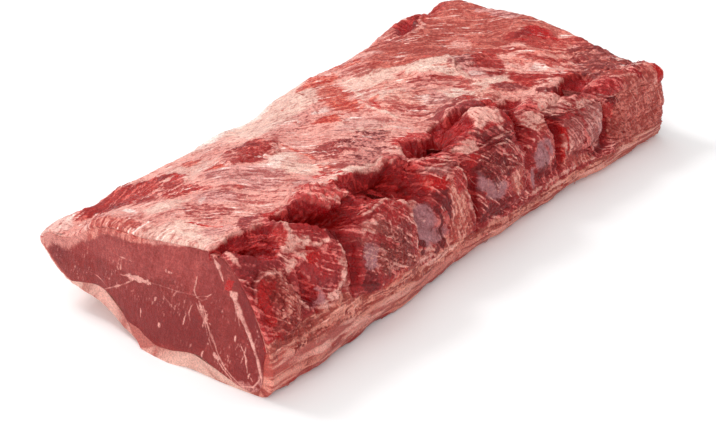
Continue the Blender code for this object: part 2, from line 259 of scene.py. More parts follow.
# Flaps, where one layer ends over another: height and fall in mm, then places; the raised side lies towards
# rising v where x rises along the line.
flaps = {
    "round": (
        2.4, 9, (-112, 1.23), (-98, 1.22), (-86, 1.235), (-76, 1.27), (-69, 1.34), (-66, 1.43), (-67, 1.52),
        (-70, 1.6),
    ),
    "split": (
        1.8, 8, (-172, 1.08), (-162, 1.05), (-152, 1.07), (-144, 1.12), (-136, 1.2), (-132, 1.3),
        (-131, 1.4),
    ),
    "splitLow": (1.8, 7, (-134, 1.36), (-134, 1.46), (-141, 1.55), (-152, 1.6), (-166, 1.6)),
    "fold": (2, 8, (-47, 1.06), (-36, 1.08), (-26, 1.12), (-17, 1.16), (-6, 1.22)),
    "foldB": (1.3, 5, (-44, 1.18), (-32, 1.185), (-22, 1.2), (-10, 1.25)),
    "curl": (1.5, 5, (-26, 1.35), (-18, 1.295), (-10, 1.29), (-5, 1.32), (-4, 1.45), (-4, 1.6), (-3, 1.76)),
    "bridge": (1.6, 6, (-62, 1.06), (-56, 1.03), (-49, 1.06), (-46, 1.15), (-46, 1.25)),
    "domeTop": (2, 8, (6, 1.06), (18, 1), (34, 0.965), (46, 0.97), (54, 1.05), (57, 1.16)),
    "domeMiddle": (1.3, 6, (12, 1.19), (30, 1.165), (42, 1.155), (54, 1.18)),
    "domeLow": (1.2, 6, (4, 1.37), (16, 1.36), (30, 1.42), (44, 1.47), (56, 1.46)),
    "column": (1.8, 7, (70, 1.1), (78, 1.07), (88, 1.12), (92, 1.3), (94, 1.42), (95, 1.6)),
    "roll": (1.8, 6, (82, 1), (92, 0.97), (104, 0.98), (116, 1.04)),
    "rollB": (1.2, 4, (94, 1.11), (106, 1.15), (118, 1.19)),
    "last": (1.8, 7, (116, 1.1), (128, 1.08), (141, 1.14), (148, 1.28), (151, 1.4), (150, 1.56)),
    "crumb": (
        2, 7, (-213, 1.4), (-209, 1.33), (-201, 1.27), (-191, 1.3), (-187, 1.37), (-181, 1.4), (-180, 1.55),
    ),
    "crumbLow": (1, 5, (-208, 1.6), (-199, 1.48), (-190, 1.44), (-180, 1.46)),
    "knobLow": (2.2, 7, (-102, 1), (-106, 1.1), (-120, 1.16), (-133, 1.12), (-141, 1.03)),
    "knobTop": (1.4, 6, (-142, 1), (-136, 0.93), (-122, 0.89), (-108, 0.91), (-101, 0.97)),
    "lump": (2.2, 8, (8, 0.955), (-8, 0.985), (-22, 0.965), (-34, 0.93)),
    "lumpTop": (1, 6, (-32, 0.86), (-18, 0.82), (-2, 0.82), (8, 0.88)),
    "window": (
        1.6, 6, (122, 0.5), (114, 0.55), (107, 0.61), (99, 0.68), (101, 0.73), (110, 0.75), (122, 0.745),
        (130, 0.75),
    ),
    "band": (1.2, 8, (24, 0.8), (44, 0.79), (66, 0.785), (88, 0.8)),
    "muscle": (1, 6, (22, 0.885), (34, 0.865), (50, 0.85), (66, 0.86)),
    "farEdge": (1.2, 6, (160, 0.78), (176, 0.8), (192, 0.785), (208, 0.8)),
    "farBulge": (1.8, 7, (164, 0.93), (150, 0.955), (134, 0.94), (124, 0.9)),
    "oval": (0.8, 6, (-60, 0.46), (-64, 0.53), (-76, 0.6), (-92, 0.595), (-102, 0.55)),
    "nearFilm": (0.7, 7, (-174, 0.6), (-160, 0.6), (-148, 0.66), (-140, 0.76), (-136, 0.86)),
    "nearFilmB": (0.6, 6, (-132, 0.5), (-124, 0.58), (-112, 0.66), (-104, 0.76)),
    "flankFilm": (0.7, 8, (-128, 0.16), (-124, 0.3), (-130, 0.42), (-142, 0.44)),
    "middleFilm": (0.6, 8, (-66, 0.66), (-50, 0.64), (-34, 0.7), (-24, 0.8)),
    "smoothEdge": (0.7, 8, (18, 0.08), (20, 0.2), (12, 0.32), (-4, 0.42), (-20, 0.5)),
    "farMuscle": (0.8, 8, (84, 0.1), (88, 0.24), (96, 0.36), (116, 0.4), (136, 0.42)),
    "starEdge": (1.2, 5, (-178, 1.24), (-166, 1.28), (-154, 1.31), (-142, 1.3)),
    "endEdge": (1.6, 6, (-213, 1.06), (-202, 1.12), (-190, 1.17), (-178, 1.24)),
    "roundFold": (0.9, 5, (-114, 1.33), (-100, 1.31), (-86, 1.33)),
    "filmEdge": (0.9, 5, (-122, 1.46), (-112, 1.44), (-103, 1.5), (-98, 1.6)),
    "lastFold": (1.2, 6, (116, 1.28), (127, 1.34), (136, 1.46), (139, 1.58)),
    "domeFold": (0.9, 5, (12, 1.28), (28, 1.265), (43, 1.3)),
    "farStrip": (0.6, 5, (170, 0.5), (182, 0.52), (196, 0.5), (208, 0.46)),
}


def onSkin(places):
    # x and v as x and mm
    return [(x, float(roundMm(v)), *rest) for x, v, *rest in places]


def rotated(across, down, degrees):
    cos, sin = math.cos(math.radians(degrees)), math.sin(math.radians(degrees))
    return across * cos + down * sin, down * cos - across * sin


def chunkHeight(x, s, atX, atV, halfX, halfS, height, turn=0):
    a, b = rotated(x - atX, s - roundMm(atV), -turn)
    return height * np.clip(1 - np.abs(a / halfX) ** 3 - np.abs(b / halfS) ** 3, 0, 1) ** 0.5


def lineDistance(x, s, line, sided=False):
    # distance to a line through places, how far along it the nearest place is and, if asked, on which side
    nearest, share, side = np.full(x.shape, 1e9), np.zeros(x.shape), np.ones(x.shape)
    count = len(line) - 1
    for i, ((ax, a), (bx, b)) in enumerate(zip(line[:-1], line[1:])):
        runX, runS = bx - ax, b - a
        t = np.clip(((x - ax) * runX + (s - a) * runS) / (runX**2 + runS**2), 0, 1)
        distance = np.hypot(x - ax - t * runX, s - a - t * runS)
        closer = distance < nearest
        nearest = np.where(closer, distance, nearest)
        share = np.where(closer, (i + t) / count, share)
        if sided:
            side = np.where(closer, np.where(runX * (s - a) - runS * (x - ax) > 0, 1.0, -1.0), side)
    return (nearest, share, side) if sided else (nearest, share)


def cleftShape(x, s, width, depth, *line):
    # depth in mm, with rough steep walls and an uneven floor
    strayX = 1.8 * np.sin(x / 5.1 + s / 9.7)
    strayS = 1.8 * np.sin(s / 6.3 - x / 8.9)
    nearest, share = lineDistance(x + strayX, s + strayS, onSkin(line))
    ends = np.sin(np.pi * np.clip(0.08 + 0.84 * share, 0, 1)) ** 0.6
    rough = 0.20 * noise(x, s, 7.0, 31) + 0.14 * noise(x, s, 3.2, 32) + 0.06 * noise(x, s, 1.5, 33)
    reach = np.clip(nearest / (0.62 * width) + rough, 0, 9)
    walls, floor = np.exp(-reach**7), bell(reach, 0, 0.5)
    return depth * ends * (0.66 * walls + 0.34 * floor)


# What all flaps share, in mm: how far they reach, how far their edges stray and how soft the step is, then
# the pale rim's place and width, the reach of the painted shade tucked under an edge, and the rise from which
# rim and shade are full.
flapShape = {
    "reach": 30.0, "stray": 1.6, "soft": 0.45, "rimAt": 0.5, "rim": 1.0, "shade": 1.6, "fullRise": 1.6,
}


def flapForm(x, s):
    # height in mm, and how near each place is to an edge: on the upper layer, where the pale rim with painted
    #     # highlight goes, and just under it, where painted shade goes
    height, rim, under = np.zeros(x.shape), np.zeros(x.shape), np.zeros(x.shape)
    strayX = flapShape["stray"] * layered(x, s, 9, 3, 35)
    strayS = flapShape["stray"] * layered(x, s, 9, 3, 38)
    for rise, fall, *line in flaps.values():
        line = onSkin(line)
        xs, ss = zip(*line)
        near = (x > min(xs) - flapShape["reach"]) & (x < max(xs) + flapShape["reach"])
        near = near & (s > min(ss) - flapShape["reach"]) & (s < max(ss) + flapShape["reach"])
        if not near.any():
            continue
        atX, atS = (x + strayX)[near], (s + strayS)[near]
        away, share, side = lineDistance(atX, atS, line, True)
        ends = np.sin(np.pi * np.clip(share, 0, 1)) ** 0.5
        upper = smoothstep(-flapShape["soft"], flapShape["soft"], side * away)
        over = np.exp(-away / fall) * upper - 0.5 * np.exp(-away / (0.45 * fall)) * (1 - upper)
        height[near] += rise * ends * over
        strength = ends * min(1.0, rise / flapShape["fullRise"])
        edge = strength * upper * bell(away, flapShape["rimAt"], flapShape["rim"])
        rim[near] = np.maximum(rim[near], edge)
        under[near] = np.maximum(under[near], strength * (1 - upper) * np.exp(-away / flapShape["shade"]))
    return height, rim, under


# Swells along the near end's flank: height in mm, the v of the middle and its half width, and the x where
# each begins and is full.
flankSwells = ((2.5, 0.03, 0.05, -180, -205), (-4.5, 0.19, 0.09, -140, -180))


def surfaceHeight(x, v):
    # form over the plain skin, and how deep in a cleft each place is
    s = roundMm(v)
    highest = np.zeros(x.shape)
    for chunk in chunks.values():
        highest = np.maximum(highest, chunkHeight(x, s, *chunk))
    cleft = np.zeros(x.shape)
    for one in clefts.values():
        cleft = np.maximum(cleft, cleftShape(x, s, *one))
    lumps = 0.9 * np.sin(x / 17 + 1.3 * np.sin(s / 21))
    lumps = lumps + 0.7 * np.sin(s / 11 + 1.7 * np.sin(x / 26)) + 0.5 * np.sin((x + s) / 8.3)
    atCut = smoothstep(-halfLength, -halfLength + 6, x)
    kept = 0.35 + 0.65 * np.maximum(atCut, smoothstep(1.2, 1.4, v))
    form = highest * kept + lumps
    for rise, middle, half, begin, full in flankSwells:
        form = form + rise * bell(v, middle, half) * smoothstep(begin, full, x)
    return form, cleft


# Depth of the fat round the fresh cut: v and mm.
cutFatDepth = (
    (1.6, 5), (1.9, 7), (2, 6), (2.06, 3.5), (2.12, 5), (2.18, 9), (2.25, 13.5), (2.3, 12), (2.36, 9),
    (2.42, 7.5), (2.47, 7), (2.5, 4.5), (2.53, 5), (2.56, 8), (2.6, 14), (2.65, 17), (2.71, 15), (2.77, 11),
    (2.82, 7), (2.86, 3), (2.93, 2.5), (3, 2),
)


def fatDepthAt(x, v):
    fatEdge, usual = sizeAt("fatEdge", x), sizeAt("fatDepth", x)
    share = (v - fatEdge) / (3 - fatEdge)
    side = 2.5 + (usual - 2.5) * smoothstep(0.0, 0.28, share)
    plain = 2.0 + (side - 2.0) * smoothstep(2.97, 2.76, v)
    places, depths = zip(*cutFatDepth)
    atCut = np.interp(v, places, depths)
    return plain + (np.minimum(atCut, 2.5 + 60 * np.maximum(share, 0)) - plain) * smoothstep(-170, -205, x)


def endShaped(points):
    bulge = loin["cutBulge"]
    x, y, z = points[..., 0], points[..., 1], points[..., 2]
    share = smoothstep(-halfLength + bulge["over"], -halfLength, x)
    across = np.clip(1 - ((y - bulge["middleY"]) / bulge["half"]) ** 2, 0, 1)
    out = bulge["out"] * across * np.clip(1.15 - z / bulge["height"], 0, 1)
    return np.stack([x - share * out, y, z], -1)


# How the skin turns in at the two cut ends: side, length and depth in mm, what the top adds to both, and the
# v where that begins, is full, starts to end and is over.
endTurns = ((-1, 2.0, 1.2, 8.0, 2.0, 0.16, 0.32, 0.80, 0.97), (1, 4.0, 2.5, 5.0, 3.5, 0.7, 0.9, 1.0, 1.12))


def endRounding(x, v):
    total = 0
    for end, length, depth, moreLength, moreDepth, begin, full, still, over in endTurns:
        onTop = smoothstep(over, still, v) * smoothstep(begin, full, v)
        part = np.clip(1 - (halfLength - end * x) / (length + moreLength * onTop), 0, 1)
        total = total + (depth + moreDepth * onTop) * (1 - np.sqrt(1 - part**2))
    return total


# Way that the muscle fibres run: x, v, and degrees from +x towards rising v.
fibreWays = [
    (-213, 0.25, 0), (-213, 0.45, 0), (-213, 0.65, 10), (-190, 0.2, -8), (-155, 0.2, -8), (-152, 0.5, 22),
    (-175, 0.75, 65), (-120, 0.3, 40), (-115, 0.65, 66), (-150, 0.85, 62), (-85, 0.45, 28), (-90, 0.7, 62),
    (-75, 0.85, 40), (-30, 0.2, 55), (-20, 0.5, 50), (-45, 0.8, 60), (0, 0.7, 62), (45, 0.2, 30),
    (25, 0.4, 20), (50, 0.4, 15), (30, 0.7, 50), (45, 0.85, 18), (80, 0.6, 35), (100, 0.3, 46),
    (150, 0.3, 48), (195, 0.3, 48), (110, 0.52, 20), (125, 0.65, 60), (180, 0.62, 40), (115, 0.8, 30),
    (150, 0.85, 55), (190, 0.85, 20), (190, 0.97, 10), (-200, 1.2, 28), (-150, 1.15, 18), (-150, 1.35, 32),
    (-185, 1.45, 70), (-195, 1.52, 74), (-205, 1.7, 14), (-182, 1.68, 6), (-162, 1.66, 2), (-142, 1.7, 0),
    (-120, 1.76, 0), (-100, 1.74, 0), (-80, 1.74, -2), (-160, 1.5, 55), (-122, 1, 60), (-105, 1.2, 4),
    (-75, 1.3, 30), (-95, 1.45, 40), (-80, 1.5, 70), (-110, 1.6, 65), (-60, 1.15, 60), (-35, 1.15, 20),
    (-30, 1.35, 30), (-35, 1.5, 82), (-12, 1.6, 86), (10, 1.15, 20), (35, 1.1, 30), (30, 1.3, 42),
    (50, 1.35, 50), (25, 1.42, 70), (50, 1.6, 84), (20, 1.7, 20), (80, 1.2, 60), (80, 1.45, 84),
    (100, 1.05, 15), (100, 1.45, 86), (110, 1.2, 30), (120, 1.4, 60), (135, 1.5, 80), (150, 1.05, 12),
    (165, 1.25, 60), (185, 1.15, 86), (185, 1.5, 88), (207, 1.2, 88), (-208, 1.86, 0), (-195, 1.9, 0),
    (-205, 1.97, 0), (-180, 1.84, 2), (-160, 1.8, 2), (-60, 1.85, 0), (60, 1.85, 0), (160, 1.8, 4),
]
fibreCell, fibreLow, fibreCells, fibreReach = 4.0, (-224.0, -176.0), (113, 78), 17.0


def fibreTable():
    x = fibreLow[0] + fibreCell * np.arange(fibreCells[0])[:, None]
    s = fibreLow[1] + fibreCell * np.arange(fibreCells[1])[None, :]
    cos, sin = 0, 0
    for atX, atV, angle in fibreWays:
        distance = (x - atX) ** 2 + (s - float(roundMm(atV))) ** 2
        weight = np.exp(-distance / (2 * fibreReach**2)) + 1e-7 / (1 + distance)
        cos = cos + weight * math.cos(math.radians(2 * angle))
        sin = sin + weight * math.sin(math.radians(2 * angle))
    return np.stack([cos, sin], -1) / np.hypot(cos, sin)[..., None]


fibreGrid = fibreTable()


def fibreDirection(x, s):
    a = np.clip((x - fibreLow[0]) / fibreCell, 0, fibreGrid.shape[0] - 1.001)
    b = np.clip((s - fibreLow[1]) / fibreCell, 0, fibreGrid.shape[1] - 1.001)
    i, j = a.astype(int), b.astype(int)
    fa, fb = (a - i)[..., None], (b - j)[..., None]
    low = fibreGrid[i, j] * (1 - fa) + fibreGrid[i + 1, j] * fa
    high = fibreGrid[i, j + 1] * (1 - fa) + fibreGrid[i + 1, j + 1] * fa
    way = low * (1 - fb) + high * fb
    angle = np.arctan2(way[..., 1], way[..., 0]) / 2
    return np.cos(angle), np.sin(angle)


def streaks(x, s, size, steps, seed):
    # noise drawn out along the fibres
    total = noise(x, s, size, seed)
    for way in (1, -1):
        atX, atS = x, s
        goX, goS = fibreDirection(x, s)
        goX, goS = goX * way, goS * way
        for step in range(steps):
            atX, atS = atX + goX * size, atS + goS * size
            total = total + noise(atX, atS, size, seed)
            newX, newS = fibreDirection(atX, atS)
            same = np.where(newX * goX + newS * goS < 0, -1, 1)
            goX, goS = newX * same, newS * same
    return total / math.sqrt(2 * steps + 1) * contrast


def longFibres(x, s, length, width, seed):
    drift = s + 1.6 * layered(x, s, 30, 2, seed)
    return 1.5 * noise(x / length, drift / width, 1, seed + 3)


# Tissues: colour under, colour over, share that the upper one covers, wetness, relief, streaks, threads and
# crumbs. Their numbers are the columns of a paint's values.
tissues = {
    "film": ((206, 112, 103), (230, 154, 142), 0.64, 0.5, 0.35, 0.26, 0.1, 0),
    "cream": ((220, 152, 138), (236, 188, 173), 0.74, 0.5, 0.28, 0.16, 0.05, 0),
    "white": ((222, 166, 154), (247, 222, 213), 0.78, 0.45, 0.4, 0.2, 0, 0),
    "greyFilm": ((184, 96, 92), (214, 142, 135), 0.66, 0.6, 0.25, 0.42, 0.2, 0),
    "pinkMottle": ((174, 66, 62), (216, 132, 122), 0.48, 0.5, 0.6, 0.45, 0.2, 0),
    "specks": ((132, 50, 51), (210, 130, 122), 0.6, 0.5, 0.7, 0.2, 0.1, 0.1),
    "farLean": ((180, 74, 64), (203, 104, 91), 0.48, 0.42, 0.32, 0.3, 0.1, 0),
    "redLean": ((168, 40, 37), (202, 84, 75), 0.36, 0.5, 0.65, 0.42, 0.1, 0),
    "brightRed": ((188, 32, 32), (216, 82, 74), 0.34, 0.75, 0.7, 0.35, 0, 0),
    "orangeRed": ((196, 62, 50), (224, 110, 92), 0.46, 0.6, 0.5, 0.35, 0, 0),
    "darkLean": ((124, 31, 33), (166, 62, 62), 0.28, 0.5, 0.75, 0.38, 0.25, 0),
    "sideLean": ((168, 50, 51), (212, 106, 100), 0.34, 0.5, 1, 0.5, 0.35, 0.05),
    "redSide": ((180, 46, 47), (220, 104, 98), 0.32, 0.6, 0.9, 0.48, 0.3, 0),
    "purpleLean": ((156, 50, 52), (196, 88, 85), 0.32, 0.6, 0.6, 0.38, 0.2, 0),
    "brownLean": ((138, 50, 47), (182, 92, 86), 0.4, 0.45, 1, 0.4, 0.2, 0.1),
    # Painted shade: near-black red for the depths of clefts.
    "cavityShade": ((142, 18, 20), (168, 42, 42), 0.3, 0.55, 1, 0.5, 0, 0),
    # Dark lean of the cleft walls, darkened with painted shade; also laid as painted shade just under flap
    # edges.
    "shadedWall": ((154, 31, 34), (190, 64, 61), 0.32, 0.75, 0.9, 0.45, 0.2, 0),
    "coral": ((206, 94, 83), (234, 148, 132), 0.5, 0.55, 0.7, 0.4, 0.2, 0.1),
    "paleFat": ((214, 116, 107), (240, 168, 155), 0.7, 0.42, 0.8, 0.32, 0.1, 0.15),
    "greyPink": ((182, 96, 91), (212, 136, 129), 0.5, 0.65, 0.55, 0.45, 0.3, 0),
    "granular": ((154, 52, 48), (196, 96, 86), 0.46, 0.4, 1.5, 0.3, 0.1, 0.5),
    "farSalmon": ((184, 80, 71), (212, 116, 104), 0.5, 0.45, 0.55, 0.2, 0.1, 0.2),
    # A lighter red for the knob: its own red, raised with painted light where the knob is lit.
    "knobLean": ((208, 74, 71), (236, 132, 122), 0.42, 0.6, 1.1, 0.3, 0, 0),
    "silver": ((150, 84, 88), (178, 112, 116), 0.85, 0.85, 0.1, 0.25, 0, 0),
    "bandFat": ((182, 84, 73), (219, 134, 118), 0.5, 0.35, 0.9, 0.7, 0.4, 0),
    "cutLean": ((145, 48, 45), (172, 71, 67), 0.34, 0.35, 0.1, 0.2, 0, 0),
    "cutPink": ((164, 63, 60), (190, 88, 82), 0.45, 0.35, 0.1, 0.2, 0, 0),
    "cutDark": ((134, 40, 40), (156, 60, 57), 0.3, 0.35, 0.1, 0.2, 0, 0),
    "cutFat": ((198, 108, 100), (234, 164, 152), 0.66, 0.42, 0.4, 0.3, 0, 0),
}
underAt, overAt = slice(0, 3), slice(3, 6)
coverAt, wetAt, roughAt, streakyAt, threadsAt, crumbsAt = range(6, 12)
columns = 12
sheen = 0.010  # light that the wet surface adds by itself, taken off the colours


# Where the tissues lie on the top: name, then the tissue and its places as x, v, half length, half width,
# strength (1 where left out) and turn in degrees (0 where left out). Later ones lie over earlier ones.
topPatches = {
    "farMuscle": ("farLean", (155, 0.32, 82, 54), (190, 0.62, 40, 20, 0.8), (120, 0.14, 30, 16, 0.7)),
    "farFlank": ("film", (78, 0.12, 30, 16, 0.9), (118, 0.06, 26, 7, 0.9)),
    "creams": (
        "cream", (-18, 0.18, 66, 32, 0.95), (-181, 0.57, 14, 9, 0.8), (-201, 0.83, 7, 20, 0.7),
        (-92, 0.68, 11, 15, 0.8, 62), (-88, 0.8, 16, 9, 0.7, 60), (-122, 0.33, 24, 20, 0.6),
        (62, 0.38, 20, 15, 0.7, 15), (45, 0.57, 14, 10, 0.7), (75, 0.75, 15, 10, 1, 30),
        (97, 0.5, 15, 11, 1, 30), (110, 0.525, 13, 8), (103, 0.6, 8, 14, 1, -20),
        (104, 0.75, 16, 4, 0.9, 10), (-84, 0.92, 13, 6, 0.95), (-64, 0.965, 9, 6, 0.9),
        (150, 0.455, 10, 3, 0.6, 18), (-10, 0.68, 18, 12, 0.7, 62), (48, 0.68, 12, 10, 0.6),
        (88, 0.42, 18, 4, 0.8, 24),
    ),
    "pinks": ("film", (-155, 0.86, 18, 12, 0.7), (-70, 0.2, 22, 18, 0.7), (10, 0.62, 16, 6, 0.7)),
    "greys": (
        "greyFilm", (-16, 0.64, 11, 8, 0.7, 30), (-157, 0.68, 15, 13, 0.95, 62), (-118, 0.62, 18, 24, 0.85),
        (120, 0.575, 9, 9), (112, 0.655, 8, 9, 1, 20), (56, 0.7, 9, 9, 0.8), (-4, 0.66, 14, 9, 0.6, 62),
        (208, 0.38, 6, 16), (192, 0.74, 14, 4, 0.8), (-105, 0.86, 14, 6, 0.6), (-196, 0.9, 10, 7, 0.8),
    ),
    "mottles": (
        "pinkMottle", (-176, 0.75, 10, 15, 0.95), (-52, 0.75, 18, 13, 0.95), (-138, 0.66, 9, 6, 0.8),
        (78, 0.583, 10, 9, 1, 30), (30, 0.72, 11, 7, 1, 40), (-140, 0.82, 12, 10, 0.6, 60),
        (-100, 0.5, 10, 12, 0.9), (-75, 0.88, 14, 7, 0.9), (-170, 0.42, 14, 10, 0.9, -8),
        (132, 0.12, 14, 12, 0.7), (72, 0.24, 10, 10, 0.5),
    ),
    "speckled": (
        "specks", (-34, 0.79, 16, 11, 0.95), (-25, 0.4, 22, 12, 0.55), (60, 0.64, 8, 8, 0.8),
        (-55, 0.9, 14, 9, 0.9), (119, 0.585, 8, 8, 0.6), (110, 0.67, 5, 6, 0.5), (56, 0.7, 7, 6, 0.6),
    ),
    "darkFlank": (
        "redLean", (-182, 0.27, 17, 17, 1, -4), (-170, 0.13, 15, 10, 0.95, -8), (-156, 0.12, 12, 7, 0.8),
    ),
    "darkFlankCore": (
        "darkLean", (-186, 0.3, 10, 8, 0.7, -8), (-172, 0.2, 8, 4, 0.7, -8), (-176, 0.15, 7, 4, 0.5),
    ),
    "redFlank": (
        "redLean", (-148, 0.24, 22, 15, 1, -6), (-186, 0.12, 9, 6, 0.9), (-138, 0.38, 12, 7, 0.9, -20),
        (-154, 0.5, 12, 11, 0.95, 10), (-168, 0.36, 10, 8, 0.6), (185, 0.1, 30, 12, 0.7),
    ),
    "redOval": ("redLean", (-81, 0.49, 15, 13), (-93, 0.53, 8, 8, 0.8), (-72, 0.44, 9, 9, 0.8)),
    "darkOval": ("darkLean", (-78, 0.44, 10, 6, 0.5, 8), (-134, 0.27, 3, 5, 0.8)),
    "smudges": (
        "orangeRed", (-103, 0.25, 5, 9, 0.9, 10), (42, 0.17, 14, 11, 0.95, 20),
        (28, 0.35, 24, 10, 0.85, -49), (14, 0.49, 14, 10, 0.95, -49), (-10, 0.53, 10, 5, 1, 20),
        (-114, 0.51, 7, 2.2, 0.9, 60), (82, 0.16, 10, 6, 0.9), (-132, 0.68, 3, 2, 0.7),
        (74, 0.08, 10, 6, 0.7),
    ),
    "bright": (
        "brightRed", (-146, 0.57, 5, 4, 0.5), (-132, 0.37, 6, 5, 0.7), (187, 0.65, 12, 11, 0.95, 20),
        (194, 0.61, 9, 7, 0.9), (-96, 0.865, 5, 4, 0.8), (170, 0.7, 8, 6, 0.8), (68, 0.89, 12, 6, 0.95),
        (-12, 0.9, 15, 8, 0.9), (-95, 0.965, 6, 3, 0.9), (-158, 0.955, 8, 5, 0.9),
    ),
    "farCorals": (
        "coral", (168, 0.72, 30, 20, 0.6), (140, 0.68, 22, 12, 0.5, 10), (100, 0.83, 26, 8, 0.6),
        (40, 0.64, 22, 10, 0.6), (60, 0.47, 26, 8, 0.5, 10),
    ),
    "farReds": (
        "redLean", (176, 0.8, 12, 6, 0.8), (205, 0.72, 8, 10, 0.7), (158, 0.7, 9, 5, 0.7),
        (90, 0.71, 8, 4, 0.6), (133, 0.63, 16, 9, 0.9, -35), (158, 0.62, 10, 5, 0.7, 20),
        (93, 0.623, 10, 4, 0.85, 40), (150, 0.88, 14, 9), (178, 0.57, 7, 4, 0.8), (60, 0.82, 8, 5, 0.9),
        (160, 0.77, 10, 7, 0.8), (128, 0.815, 11, 8, 1, 25), (106, 0.822, 10, 7, 0.8, 20),
    ),
    "farDarks": (
        "darkLean", (46, 0.87, 18, 10, 0.7, 10), (150, 0.15, 12, 6, 1, -10), (120, 0.93, 8, 4, 0.9),
        (188, 0.58, 7, 3, 0.5), (192, 0.86, 24, 18, 0.7), (172, 0.9, 14, 9, 0.6), (175, 0.96, 12, 4, 0.8),
        (200, 0.97, 12, 4, 0.9),
    ),
    "farSpecks": ("specks", (106, 0.83, 9, 6, 0.6, 20)),
    "farMuscleLow": (
        "purpleLean", (-172, 0.935, 9, 5, 0.95), (-183, 0.96, 6, 3, 0.8), (40, 0.885, 22, 8, 0.8, -6),
    ),
    "farFold": ("film", (148, 0.455, 14, 8, 0.85, -20)),
    "farShine": ("white", (111, 0.665, 3, 4, 0.5), (146, 0.768, 8, 5, 0.5), (52, 0.67, 5, 4, 0.5)),
    "farPales": (
        "paleFat", (139, 0.693, 4, 4), (166, 0.61, 10, 3, 0.8, 20), (143, 0.74, 8, 5),
        (136, 0.7, 6, 3, 0.9), (152, 0.66, 12, 2.5, 0.8, 10), (166, 0.83, 10, 3, 0.6, 20),
        (130, 0.895, 12, 2.5, 0.8), (68, 0.96, 3, 2, 0.5),
    ),
    # White along the flank's edge and small white spots: pale skin and fat, brightened with painted
    # highlight.
    "edge": (
        "white", (-204, 0.07, 12, 8, 0.35), (-35, 0.06, 46, 9, 0.75), (-193, 0.46, 4, 6, 0.9, 10),
        (-5, 0.455, 7, 4, 0.5), (-95, 0.655, 4, 8, 0.4, 60), (-165, 0.67, 3, 6, 0.4, 60),
        (-55, 0.09, 14, 7, 0.6), (60, 0.04, 40, 6, 0.8),
    ),
}

